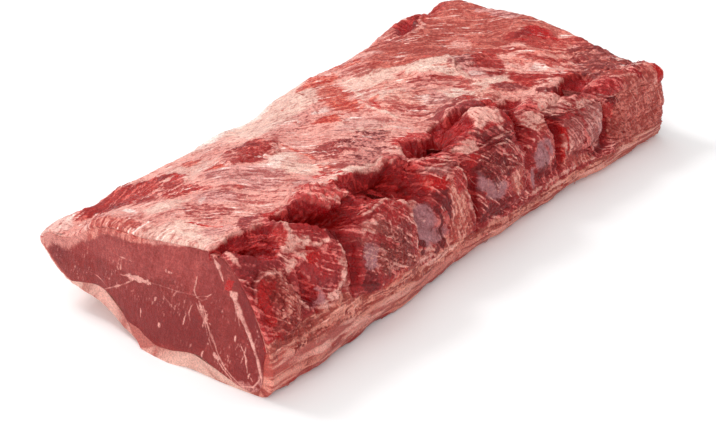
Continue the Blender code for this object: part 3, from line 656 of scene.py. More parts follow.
# The chine side, in the same way.
sidePatches = {
    "farPale": ("farSalmon", (190, 1.45, 38, 42, 0.95)),
    "farRed": ("granular", (160, 1.55, 8, 18, 0.5)),
    "creamTops": (
        "paleFat", (29, 1.04, 18, 8), (77, 1.2, 9, 11), (101, 1.045, 16, 6, 1, 8), (-62, 1.02, 11, 6),
        (-53, 1.17, 6, 12, 1, 10), (-60, 1.37, 9, 6, 0.9), (-166, 1.22, 13, 8, 1, 28),
        (-161, 1.08, 4, 6, 0.9), (-105, 1.37, 11, 6, 0.95), (-105, 1.145, 6, 4, 0.95),
        (-140, 1.5, 5, 9, 0.9, 20), (-156, 1.6, 11, 3.5, 0.9, -14), (133, 1.22, 10, 8, 0.95, 10),
        (9, 1.18, 9, 6, 0.95, 10), (-196, 1.335, 10, 4, 0.9, 24), (-178, 1.31, 4, 4, 0.9),
        (-54, 1.73, 12, 3, 0.8),
    ),
    "slab": (
        "coral", (-16, 1.56, 11, 20), (46, 1.6, 7, 10, 0.95), (84, 1.28, 6, 6, 0.6),
        (-30, 1.72, 14, 5, 0.7), (122, 1.72, 14, 4, 0.8), (-75, 1.68, 12, 6, 0.7), (105, 1.6, 8, 12, 0.5),
    ),
    "greys": (
        "greyPink", (136, 1.42, 13, 22, 1, 6), (105, 1.16, 14, 5, 0.9, 14), (-24, 1.225, 13, 4, 0.9, 20),
        (112, 1.45, 8, 18, 0.7), (-195, 1.66, 10, 6, 0.4),
    ),
    "silverskin": (
        "silver", (-51, 1.53, 9, 14), (-38, 1.64, 10, 5, 0.9, 10), (12, 1.45, 10, 7, 1, 35),
        (23, 1.56, 11, 7, 1, 20), (80, 1.51, 9, 13), (68, 1.65, 3, 8, 0.9, 6), (-114, 1.5, 7, 7, 1, 20),
        (-165, 1.545, 6, 5, 0.8), (142, 1.52, 6, 8, 0.5),
    ),
    "endChunk": (
        "purpleLean", (-153, 1.46, 8, 9, 0.9, 10), (-197, 1.2, 18, 11, 1, 18), (-205, 1.14, 8, 5, 0.9, 10),
    ),
    "crumbly": ("granular", (-192, 1.4, 15, 12, 1, 20), (-194, 1.55, 14, 8, 0.9)),
    "crumbFilm": (
        "coral", (-192, 1.48, 8, 2.5, 0.8, -50), (-184, 1.52, 7, 2.4, 0.7, -60), (-186, 1.4, 6, 3, 0.6, 40),
    ),
    "leans": (
        "redSide", (-211, 1.56, 4, 16), (-105, 1.19, 16, 8, 0.95, 4), (-82, 1.3, 15, 8, 0.9, 20),
        (-148, 1.15, 12, 7, 0.9, 20), (-150, 1.36, 12, 9, 0.8, 25), (-31, 1.13, 11, 5, 1, 14),
        (-11, 1.35, 6, 6, 0.9), (58, 1.2, 7, 12, 1, 10), (110, 1.22, 9, 6, 0.9, 20),
        (-128, 1.45, 7, 14, 0.6), (-120, 1.26, 9, 5, 0.8), (66, 1.32, 5, 6, 0.7), (160, 1.1, 14, 8, 0.8),
    ),
    "knobs": ("knobLean", (-127, 1.05, 18, 14, 1, -10), (-8, 0.93, 16, 7, 0.7)),
    "darks": (
        "darkLean", (33, 1.19, 18, 9, 0.9, 16), (26, 1.4, 17, 9, 1, 10), (20, 1.7, 20, 7, 0.9, 4),
        (-33, 1.49, 6, 12), (97, 1.22, 8, 8, 0.95, 10), (82, 1.655, 12, 4, 0.8), (-121, 1.41, 4, 3, 0.6),
        (-121, 1.64, 6, 6, 0.9), (160, 1.28, 8, 7, 0.9), (-172, 1.49, 4, 8, 0.9), (-57, 1.655, 5, 4, 0.9),
        (-36, 1.71, 7, 4, 0.9), (142, 1.66, 10, 4, 0.8, -30), (-82, 1.43, 14, 5, 0.5),
        (-133, 1.3, 4, 5, 0.7),
    ),
    "browns": ("brownLean", (-101, 1.56, 7, 8), (-84, 1.52, 9, 12, 0.8), (-95, 1.4, 9, 6, 0.7)),
    "bright": (
        "brightRed", (-207, 1.43, 3, 10, 0.9, 4), (-203, 1.36, 4, 3, 0.7, 20), (-211, 1.7, 3, 5, 0.9),
        (-33, 1.31, 10, 4.5, 1, 8), (-159, 1.325, 5, 3.5), (-44, 1.195, 4, 4, 0.9),
        (101, 1.48, 4, 18, 1, 2), (210, 1.13, 5, 9, 0.9), (1, 1.58, 3, 16, 0.8), (-185, 1.13, 5, 4, 0.7),
        (60, 1.1, 6, 6, 0.8), (-92, 1.7, 8, 3, 0.8, -6), (8, 1.3, 8, 3, 0.8, 10), (-207, 1.66, 4, 10, 0.8),
        (-172, 1.14, 5, 5, 0.8), (155, 1.38, 5, 8, 0.6),
    ),
}

# Lines on the skin: name, then tissue, half width, strength, height in mm and the x and v of its places.
topLines = {
    "slit": ("brightRed", 0.9, 1, -0.8, (-196, 0.74), (-193, 0.8), (-190, 0.89)),
    "stripeA": ("darkLean", 0.8, 0.7, -0.5, (-93, 0.63), (-89, 0.72)),
    "stripeB": ("darkLean", 0.7, 0.5, -0.4, (-97, 0.66), (-92, 0.74)),
    "redStreakA": ("orangeRed", 1.5, 0.9, 0, (-64, 0.55), (-70, 0.62), (-72, 0.69), (-76, 0.76)),
    "redStreakB": ("orangeRed", 1.8, 0.9, 0, (-80, 0.77), (-82, 0.83), (-81, 0.88)),
    "redStreakC": ("brightRed", 1.1, 0.9, -0.3, (-88, 0.83), (-88, 0.89), (-84, 0.94)),
    "redStreakD": ("brightRed", 1, 0.9, 0, (26, 0.57), (20, 0.62), (13, 0.66)),
    "redStreakE": ("orangeRed", 1.4, 0.8, 0, (36, 0.55), (24, 0.575), (10, 0.58)),
    "muscleLine": ("paleFat", 0.9, 0.9, 0.5, (22, 0.885), (34, 0.865), (50, 0.85), (62, 0.855)),
    "muscleLineB": ("paleFat", 0.7, 0.8, 0.3, (30, 0.93), (44, 0.915), (56, 0.9)),
    "windowRim": (
        "cream", 1.9, 1, 0.9, (118, 0.505), (114, 0.56), (107, 0.62), (100, 0.68), (101, 0.72),
        (109, 0.738), (119, 0.735), (126, 0.735),
    ),
    "longFold": ("cream", 2, 0.9, 0.7, (42, 0.39), (33, 0.48), (21, 0.55), (15, 0.63), (13, 0.73)),
    "longFoldRed": ("brightRed", 1.2, 0.8, -0.3, (25, 0.51), (19, 0.585), (15, 0.66)),
    "windowCrease": ("redLean", 0.9, 0.9, -0.4, (88, 0.37), (96, 0.435), (109, 0.458), (120, 0.48)),
    "windowCorals": ("coral", 1.6, 0.7, 0, (98, 0.53), (106, 0.565), (104, 0.61)),
    "windowLow": ("redLean", 0.8, 0.7, -0.3, (76, 0.64), (86, 0.693), (92, 0.74)),
    "lensA": ("cream", 1, 0.8, 0.3, (46, 0.36), (60, 0.35), (76, 0.33)),
    "lensB": ("cream", 1, 0.8, 0.3, (42, 0.44), (58, 0.43), (74, 0.42)),
    "lensC": ("cream", 0.8, 0.7, 0.3, (44, 0.5), (60, 0.5), (74, 0.49)),
    "flankLip": ("paleFat", 1.8, 0.8, 1, (134, 0.15), (138, 0.2), (148, 0.225), (160, 0.21), (166, 0.16)),
    "orangeLine": ("orangeRed", 1.2, 0.8, 0, (52, 0.24), (58, 0.19), (66, 0.14)),
    "farLine": ("coral", 1, 0.6, 0.3, (128, 0.34), (138, 0.37), (148, 0.38), (158, 0.37)),
    "farLineB": ("coral", 0.8, 0.6, 0.2, (118, 0.24), (132, 0.27), (150, 0.28)),
    "redLine": ("redLean", 1.2, 0.8, -0.3, (83, 0.29), (94, 0.31), (106, 0.32)),
    "pinkLine": ("paleFat", 0.9, 0.8, 0.4, (-212, 0.36), (-205, 0.5), (-203, 0.64)),
    "rednessNear": ("redLean", 2.6, 0.7, 0, (-209, 0.42), (-209, 0.55), (-210, 0.7)),
    "rimNear": ("paleFat", 1.6, 0.9, 0.6, (-213, 0.74), (-213, 0.86), (-213, 0.97)),
    "ovalRim": ("paleFat", 1.1, 0.8, 0.5, (-62, 0.52), (-70, 0.585), (-84, 0.6), (-98, 0.56)),
}
sideLines = {
    "roundRim": ("paleFat", 1.5, 1, 1, *flaps["round"][4:]),
    "roundRimB": ("paleFat", 0.8, 0.9, 0.5, (-107, 1.27), (-96, 1.265), (-86, 1.24)),
    "roundTop": ("paleFat", 0.9, 0.9, 0.8, (-98, 1.06), (-88, 1.1), (-78, 1.15)),
    "splitRim": (
        "paleFat", 0.9, 0.9, 0.7, (-172, 1.08), (-162, 1.05), (-152, 1.07), (-144, 1.12), (-136, 1.19),
    ),
    "foldRim": ("paleFat", 1.3, 1, 1, *flaps["fold"][2:6]),
    "foldRimB": ("paleFat", 0.9, 0.9, 0.7, (-42, 1.18), (-32, 1.185), (-22, 1.2), (-12, 1.24)),
    "foldCurl": ("paleFat", 1, 1, 1, (-24, 1.33), (-18, 1.295), (-10, 1.29), (-5, 1.32)),
    "slabEdge": ("paleFat", 1.6, 1, 1.2, (-5, 1.33), (-4, 1.45), (-4, 1.6), (-3, 1.76)),
    "slabEdgeB": ("paleFat", 0.9, 0.8, 0.6, (-25, 1.42), (-24, 1.56), (-24, 1.7)),
    "domeRimA": ("paleFat", 0.9, 1, 0.8, (30, 1.165), (42, 1.155), (50, 1.17)),
    "domeRimB": ("redSide", 0.9, 0.9, -0.6, (22, 1.1), (34, 1.085), (46, 1.1)),
    "domeFanA": ("paleFat", 0.6, 1, 0.5, (44, 1.25), (53, 1.34), (58, 1.42)),
    "domeFanB": ("paleFat", 0.6, 1, 0.5, (47, 1.31), (54, 1.38), (57, 1.44)),
    "domeFanC": ("paleFat", 0.7, 1, 0.5, (34, 1.33), (44, 1.37), (52, 1.44)),
    "domeFanD": ("paleFat", 0.6, 0.9, 0.5, (30, 1.26), (40, 1.27), (47, 1.31)),
    "domeFanE": ("paleFat", 0.7, 0.9, 0.5, (38, 1.38), (46, 1.43), (52, 1.49)),
    "domeFanF": ("darkLean", 0.8, 0.9, -0.5, (42, 1.34), (49, 1.4), (54, 1.47)),
    "filmLine": ("darkLean", 0.6, 0.7, -0.3, (20, 1.52), (26, 1.6)),
    "coralLine": ("paleFat", 1.1, 0.9, 0.7, (41, 1.5), (42, 1.6), (45, 1.7)),
    "columnLine": ("paleFat", 1.2, 0.9, 0.8, (92, 1.3), (94, 1.42), (93, 1.52)),
    "rollLineA": ("paleFat", 0.9, 0.9, 0.6, *flaps["rollB"][2:]),
    "rollLineB": ("paleFat", 0.8, 0.9, 0.5, (98, 1.17), (108, 1.22), (118, 1.27)),
    "grooveLine": ("paleFat", 0.8, 0.9, 0.4, (104, 1.42), (104, 1.52), (106, 1.62)),
    "lastRim": ("paleFat", 1.2, 0.8, 0.8, (141, 1.18), (148, 1.28), (151, 1.4), (150, 1.52)),
    "curl": (
        "darkLean", 1.1, 1, -1, (152, 1.55), (150, 1.64), (142, 1.71), (132, 1.73), (128, 1.66),
        (134, 1.58),
    ),
    "curlInside": ("greyPink", 1.4, 0.8, 0.3, (146, 1.6), (139, 1.655), (134, 1.68)),
    "bandLipFar": ("paleFat", 1.6, 0.9, 0.8, (56, 1.765), (84, 1.765), (112, 1.76), (134, 1.76)),
    "lowLip": ("paleFat", 1.3, 0.9, 0.8, (-56, 1.78), (-40, 1.79), (-24, 1.79)),
    "farStroke": ("greyPink", 1.6, 0.9, 0.6, (150, 1.14), (158, 1.19), (170, 1.22)),
    "farStrokeB": ("paleFat", 0.8, 0.7, 0.4, (166, 1.02), (176, 1.05), (188, 1.05)),
    "pitBit": ("paleFat", 1.6, 1, 1.6, (-181, 1.175), (-177, 1.19), (-174, 1.21)),
    "starArm": ("paleFat", 1.6, 1, 0.8, (-163, 1.05), (-165, 1.12), (-168, 1.18)),
    "starArmB": ("paleFat", 1, 0.9, 0.5, (-158, 1.26), (-148, 1.29), (-140, 1.3)),
    "curveBand": ("paleFat", 1.6, 1, 0.8, *flaps["splitLow"][2:]),
    "crumbRim": ("paleFat", 1.2, 1, 1.2, (-206, 1.3), (-200, 1.28), (-193, 1.295), (-188, 1.34)),
    "endLip": ("paleFat", 1, 0.8, 0.6, (-213, 1.04), (-213, 1.12), (-212, 1.19)),
    "midLine": ("paleFat", 1, 0.8, 0.6, (-182, 1.44), (-178, 1.52), (-174, 1.58)),
    "coralStreak": ("orangeRed", 1.8, 0.8, 0.5, (-112, 1.7), (-100, 1.69), (-88, 1.66)),
    "bandWhiteA": ("white", 0.8, 0.9, 0.5, (-162, 1.79), (-154, 1.8), (-146, 1.8)),
    "bandWhiteB": ("white", 1.2, 0.9, 0.5, (-130, 1.8), (-120, 1.805), (-110, 1.8)),
}


def patchReach(x, s, fray, atX, atS, halfX, halfS, strength=1, turn=0):
    a, b = rotated(x - atX, s - atS, turn)
    frayed = fray * min(1.0, 12 / (halfX + halfS) + 0.35)
    soft = min(max(1.8 / min(halfX, halfS), 0.05), 0.18)
    return strength * smoothstep(1.03 + soft, 1.03 - soft, np.hypot(a / halfX, b / halfS) + frayed)


def lineReach(x, s, uneven, halfWidth, strength, places):
    nearest, share = lineDistance(x, s, places)
    ends = np.sin(np.pi * np.clip(0.1 + 0.8 * share, 0, 1)) ** 0.5
    width = halfWidth * ends * np.clip(1 + 0.35 * uneven, 0.4, 1.6)
    return strength * smoothstep(1.5, 0.6, nearest / width)


def tissueValues(name):
    under, over, *rest = tissues[name]
    colours = np.concatenate([linear(under), linear(over)])
    return np.concatenate([np.maximum(colours - sheen, 0.001), rest])


def linear(colour):
    c = np.array(colour, float) / 255
    return np.where(c <= 0.04045, c / 12.92, ((c + 0.055) / 1.055) ** 2.4)


class Paint:
    # the tissue at each place, as in the tissues' rows with the colours as numbers, and a height in mm
    def __init__(self, x, s, tissue, raggedness, fray):
        self.x, self.s = x, s
        self.warpX = x + raggedness * (3.2 * layered(x, s, 13, 3, 41) + 0.9 * noise(x, s, 2.6, 44))
        self.warpS = s + raggedness * (3.2 * layered(x, s, 13, 3, 51) + 0.9 * noise(x, s, 2.6, 54))
        self.fray = fray
        self.uneven = layered(x, s, 6, 2, 59)
        self.values = np.broadcast_to(tissueValues(tissue), x.shape + (columns,)).copy()
        self.height = np.zeros(x.shape)

    def add(self, tissue, amount):
        self.values += (tissueValues(tissue) - self.values) * np.clip(amount, 0, 1)[..., None]

    def shade(self, amount):
        # lighter and paler, or darker and redder
        for at in (underAt, overAt):
            colour = self.values[..., at]
            colour[..., 0] *= 1 + amount
            colour[..., 1:] *= np.clip(1 + 1.7 * amount, 0.2, 2)[..., None]

    def addPatches(self, groups, placed=onSkin):
        for tissue, *patches in groups.values():
            stray = 0.35 if tissue == "silver" else 1.0
            atX = self.x + stray * (self.warpX - self.x)
            atS = self.s + stray * (self.warpS - self.s)
            for patch in placed(patches):
                self.add(tissue, patchReach(atX, atS, stray * self.fray, *patch))

    def addLines(self, lines, placed=onSkin):
        atX = self.x + 0.3 * (self.warpX - self.x)
        atS = self.s + 0.3 * (self.warpS - self.s)
        for tissue, halfWidth, strength, height, *places in lines.values():
            reach = lineReach(atX, atS, self.uneven, halfWidth, strength, placed(places))
            reach = reach * np.clip(0.9 + 0.5 * self.uneven, 0, 1)
            self.add(tissue, reach)
            self.height += height * reach


def nodeMaker(tree):
    # a function that adds a node, or takes one that is there, and fills in its settings, inputs and links
    def node(kind, inputs=(), **settings):
        made = tree.nodes.new(kind) if isinstance(kind, str) else kind
        for key, value in settings.items():
            setattr(made, key, value)
        for key, value in dict(inputs).items():
            if isinstance(value, bpy.types.NodeSocket):
                tree.links.new(value, made.inputs[key])
            else:
                made.inputs[key].default_value = value
        return made

    return node


def newFinish(name):
    made = bpy.data.materials.new(name)
    made.use_nodes = True
    return made, nodeMaker(made.node_tree), made.node_tree.nodes["Principled BSDF"]


def tissueMaterial(name, grain):
    made, node, shader = newFinish(name)
    place = node("ShaderNodeTexCoord").outputs["Object"]

    def attribute(which):
        return node("ShaderNodeAttribute", attribute_name=which).outputs

    def noiseAt(scale, detail):
        return node("ShaderNodeTexNoise", {"Vector": place, "Scale": scale, "Detail": detail}).outputs["Fac"]

    def calc(kind, a, b):
        return node("ShaderNodeMath", {0: a, 1: b}, operation=kind).outputs[0]

    coarse, fine = noiseAt(grain["coarse"], 4), noiseAt(grain["fine"], 3)
    limits = {"From Min": 0.40, "From Max": 0.60, "Value": noiseAt(grain["finest"], 2)}
    clear = node("ShaderNodeMapRange", limits).outputs["Result"]
    spread = calc("ADD", calc("MULTIPLY", coarse, grain["spread"]), calc("MULTIPLY", fine, grain["spread"]))
    share = calc("ADD", attribute("cover")["Fac"], calc("SUBTRACT", spread, grain["spread"]))
    limits = {"From Min": 0.5 - grain["edge"], "From Max": 0.5 + grain["edge"], "Value": share}
    edge = node("ShaderNodeMapRange", limits, interpolation_type="SMOOTHSTEP").outputs["Result"]
    colours = {"Factor": edge, "A": attribute("under")["Color"], "B": attribute("over")["Color"]}
    mixed = node("ShaderNodeMix", colours, data_type="RGBA").outputs["Result"]
    tone = calc("ADD", calc("MULTIPLY", clear, grain["tone"]), 1 - 0.5 * grain["tone"])
    colours = {"Factor": 1.0, "A": mixed, "B": tone}
    shaded = node("ShaderNodeMix", colours, data_type="RGBA", blend_type="MULTIPLY").outputs["Result"]
    wet = calc("MULTIPLY", attribute("wet")["Fac"], 0.42)
    rough = calc("SUBTRACT", calc("ADD", calc("MULTIPLY", fine, 0.3), 0.41), wet)
    relief = calc("ADD", calc("MULTIPLY", edge, grain["step"]), calc("MULTIPLY", fine, grain["crumb"]))
    relief = calc("ADD", relief, calc("MULTIPLY", clear, grain["glint"]))
    bump = node("ShaderNodeBump", {"Strength": 0.6, "Distance": 0.0008, "Height": relief})
    node(shader, {
        "Base Color": shaded, "Roughness": rough, "Normal": bump.outputs["Normal"],
        "Subsurface Weight": 0.04, "Subsurface Radius": (0.003, 0.0009, 0.0006), "Subsurface Scale": 1.0,
        "Specular IOR Level": 0.28,
    })
    return made


def meshObject(name, points, faceSets, values, material, ways=None, flatFrom=None):
    shift = np.array([*loin["origin"], 0])
    mesh = bpy.data.meshes.new(name)
    mesh.vertices.add(len(points))
    mesh.vertices.foreach_set("co", ((points + shift) * mm).astype(np.float32).ravel())
    corners = np.concatenate([faces.ravel() for faces in faceSets])
    sizes = np.concatenate([np.full(len(faces), faces.shape[1]) for faces in faceSets])
    mesh.loops.add(len(corners))
    mesh.loops.foreach_set("vertex_index", corners.astype(np.int32))
    mesh.polygons.add(len(sizes))
    starts = np.concatenate([[0], np.cumsum(sizes)[:-1]])
    mesh.polygons.foreach_set("loop_start", starts.astype(np.int32))
    mesh.polygons.foreach_set("loop_total", sizes.astype(np.int32))
    mesh.update(calc_edges=True)
    mesh.shade_smooth()
    if flatFrom is not None:
        smooth = np.arange(len(sizes)) < sum(len(faces) for faces in faceSets[:flatFrom])
        mesh.polygons.foreach_set("use_smooth", smooth)
    for which, at in (("under", underAt), ("over", overAt)):
        layer = mesh.attributes.new(which, "FLOAT_COLOR", "POINT")
        rgba = np.ones((len(points), 4), np.float32)
        rgba[:, :3] = values[:, at]
        layer.data.foreach_set("color", rgba.ravel())
    for which, at in (("cover", coverAt), ("wet", wetAt), ("threads", threadsAt), ("crumbs", crumbsAt)):
        layer = mesh.attributes.new(which, "FLOAT", "POINT")
        layer.data.foreach_set("value", values[:, at].astype(np.float32))
    if ways is not None:
        layer = mesh.attributes.new("way", "FLOAT_VECTOR", "POINT")
        layer.data.foreach_set("vector", ways.astype(np.float32).ravel())
    mesh.materials.append(material)
    made = bpy.data.objects.new(name, mesh)
    bpy.context.scene.collection.objects.link(made)
    return made


def ringMesh(name, rings, values, material, ways=None, hollow=(0, 0)):
    # rings: stations x places x 3, in mm; the places run from flank to crest, so that faces point out;
    # hollow: how far the middle of the first and the last cap is pulled in
    stations, count = rings.shape[:2]
    points, values = rings.reshape(-1, 3), values.reshape(-1, values.shape[-1])
    i = np.arange(stations - 1)[:, None] * count
    j = np.arange(count)[None, :]
    n = (j + 1) % count
    faceSets = [np.stack([i + j, i + n, i + count + n, i + count + j], -1).reshape(-1, 4)]
    for first, flip in ((0, True), ((stations - 1) * count, False)):
        middle = len(points)
        back = [-hollow[1] if first else hollow[0], 0, 0]
        points = np.vstack([points, points[first:first + count].mean(0) + back])
        values = np.vstack([values, values[first:first + count].mean(0)])
        a, b = first + np.arange(count), first + (np.arange(count) + 1) % count
        a, b = (b, a) if flip else (a, b)
        faceSets.append(np.stack([a, b, np.full(count, middle)], -1))
    if ways is not None:
        ways = np.vstack([ways.reshape(-1, 3), [(1, 0, 0), (1, 0, 0)]])
    return meshObject(name, points, faceSets, values, material, ways)


def endStations(start, end, spacing, closeStart=True, closeEnd=True):
    # even stations, with closer ones where an end turns in
    *close, past = 0, 0.08, 0.25, 0.5, 0.9, 1.4, 2.0, 2.7, 3.4, 4.1
    close = np.array(close)
    first, last = start + past * closeStart, end - past * closeEnd
    middle = np.linspace(first, last, int((last - first) / spacing))
    before = start + close if closeStart else close[:0]
    after = end - close[::-1] if closeEnd else close[:0]
    return np.concatenate([before, middle, after])


body = {
    "parts": {
        "loinFirst": (-215.0, -146.0), "loinSecond": (-146.0, -76.0), "loinThird": (-76.0, -6.0),
        "loinFourth": (-6.0, 64.0), "loinFifth": (64.0, 136.0), "loinLast": (136.0, 215.0),
    },
    "spacing": 0.52, "topSteps": 320, "sideSteps": 176, "underSteps": 14, "under": 0.6, "overlap": 0.05,
    "hollow": 9.0,
}
# Threads and crumbs grow farther from the ends than this, and where clefts are shallower, in mm.
growth = {"fromEnd": 3.0, "cleft": 8.0}
# Weights of the noises: how borders fray, then the share of the upper colour, the tone and the relief in mm,
# each of the three both plain and with the fibres. The tone also carries painted shade under flap edges,
# painted light on the ribs of cleft walls, and painted shade and highlights along the fibres.
bodyLook = {
    "fray": {"wide": 0.17, "middle": 0.14, "fine": 0.10, "small": 0.10},
    "cover": {"mottle": 0.12, "folds": 0.06, "grain": 0.18},
    "fibreCover": {"hair": 0.30, "fine": 0.32, "middle": 0.23, "wide": 0.09},
    "tone": {"large": 0.09, "mottle": 0.06, "folds": 0.05, "grain": 0.13, "tuckedShade": -0.32, "ribLight": 0.35},
    "fibreTone": {"wide": 0.06, "middle": 0.07, "fine": 0.06, "crackShadeAndGlints": -0.46},
    "relief": {"folds": 0.8, "bumps": 0.7, "swells": 0.3, "lumps": 0.5, "grain": 0.26},
    "fibreRelief": {"wide": 0.65, "middle": 0.50, "fine": 0.26, "hair": 0.14},
}
# Where the fat's own colour begins on the side.
bandX = (-215, -200, -168, -142, -132, -110, -90, -72, -56, -30, 0, 40, 215)
bandV = (1.62, 1.63, 1.61, 1.61, 1.68, 1.70, 1.68, 1.70, 1.76, 1.77, 1.79, 1.80, 1.80)
# Nets of pale tissue over the lean: tissue, size of a cell in mm, share of a cell, then patches.
nets = {
    "knob": ("paleFat", 4.2, 0.1, (-127, 1.04, 18, 14, 0.65, -10)),
    "islands": ("coral", 6.5, 0.11, (190, 0.88, 28, 22, 0.9), (172, 0.98, 20, 8, 0.7)),
    "round": ("paleFat", 5, 0.08, (-92, 1.42, 26, 24, 0.5)),
    "granules": ("redLean", 2.8, 0.16, (-192, 1.52, 16, 20, 0.6), (185, 1.62, 34, 16, 0.4)),
    "middle": (
        "darkLean", 3.4, 0.1, (-36, 0.79, 18, 12, 0.6), (-52, 0.76, 18, 12, 0.5), (118, 0.6, 10, 7, 0.35),
    ),
    "oval": (
        "film", 3.2, 0.1, (-80, 0.49, 20, 14, 0.45, 4), (-154, 0.5, 12, 11, 0.4), (-148, 0.24, 20, 14, 0.3),
    ),
    "dome": ("coral", 4, 0.08, (28, 1.42, 20, 12, 0.5), (-100, 1.55, 14, 12, 0.5)),
}


def blend(noises, weights):
    return sum(weight * noises[name] for name, weight in weights.items())


def bodyPaint(x, s, v, fray):
    paint = Paint(x, s, "film", 1.0, fray)
    crest = smoothstep(0.965, 1.03, v + 0.02 * noise(x, s, 7, 5) + 0.05 * fray)
    paint.add("sideLean", crest)
    paint.addPatches(topPatches)
    paint.addLines(topLines)
    paint.addPatches(sidePatches)
    bandTop = np.interp(x, bandX, bandV) + 0.012 * layered(x, 0 * x, 16, 3, 225)
    paint.add("bandFat", smoothstep(-0.008, 0.012, v + 0.03 * fray - bandTop))
    for tissue, size, share, *patches in nets.values():
        border, own = cells(x + 0.5 * (paint.warpX - x), s + 0.5 * (paint.warpS - s), size, 201)
        net = smoothstep(share * 1.6, share * 0.5, border + 0.05 * fray) * smoothstep(-0.9, -0.3, own)
        for patch in onSkin(patches):
            reach = patchReach(paint.warpX, paint.warpS, fray, *patch)
            paint.add(tissue, reach * net)
            paint.height += reach * 0.9 * smoothstep(0, 0.5, border)
    paint.addLines(sideLines)
    return paint


def fibreWay(x, s, v):
    # the fibres' direction in space
    goX, goS = fibreDirection(x, s)
    along = skin(x + 0.5, v) - skin(x - 0.5, v)
    around = skin(x, v + 0.004) - skin(x, v - 0.004)
    along, around = (d / np.linalg.norm(d, axis=-1, keepdims=True) for d in (along, around))
    return along * goX[..., None] + around * goS[..., None]


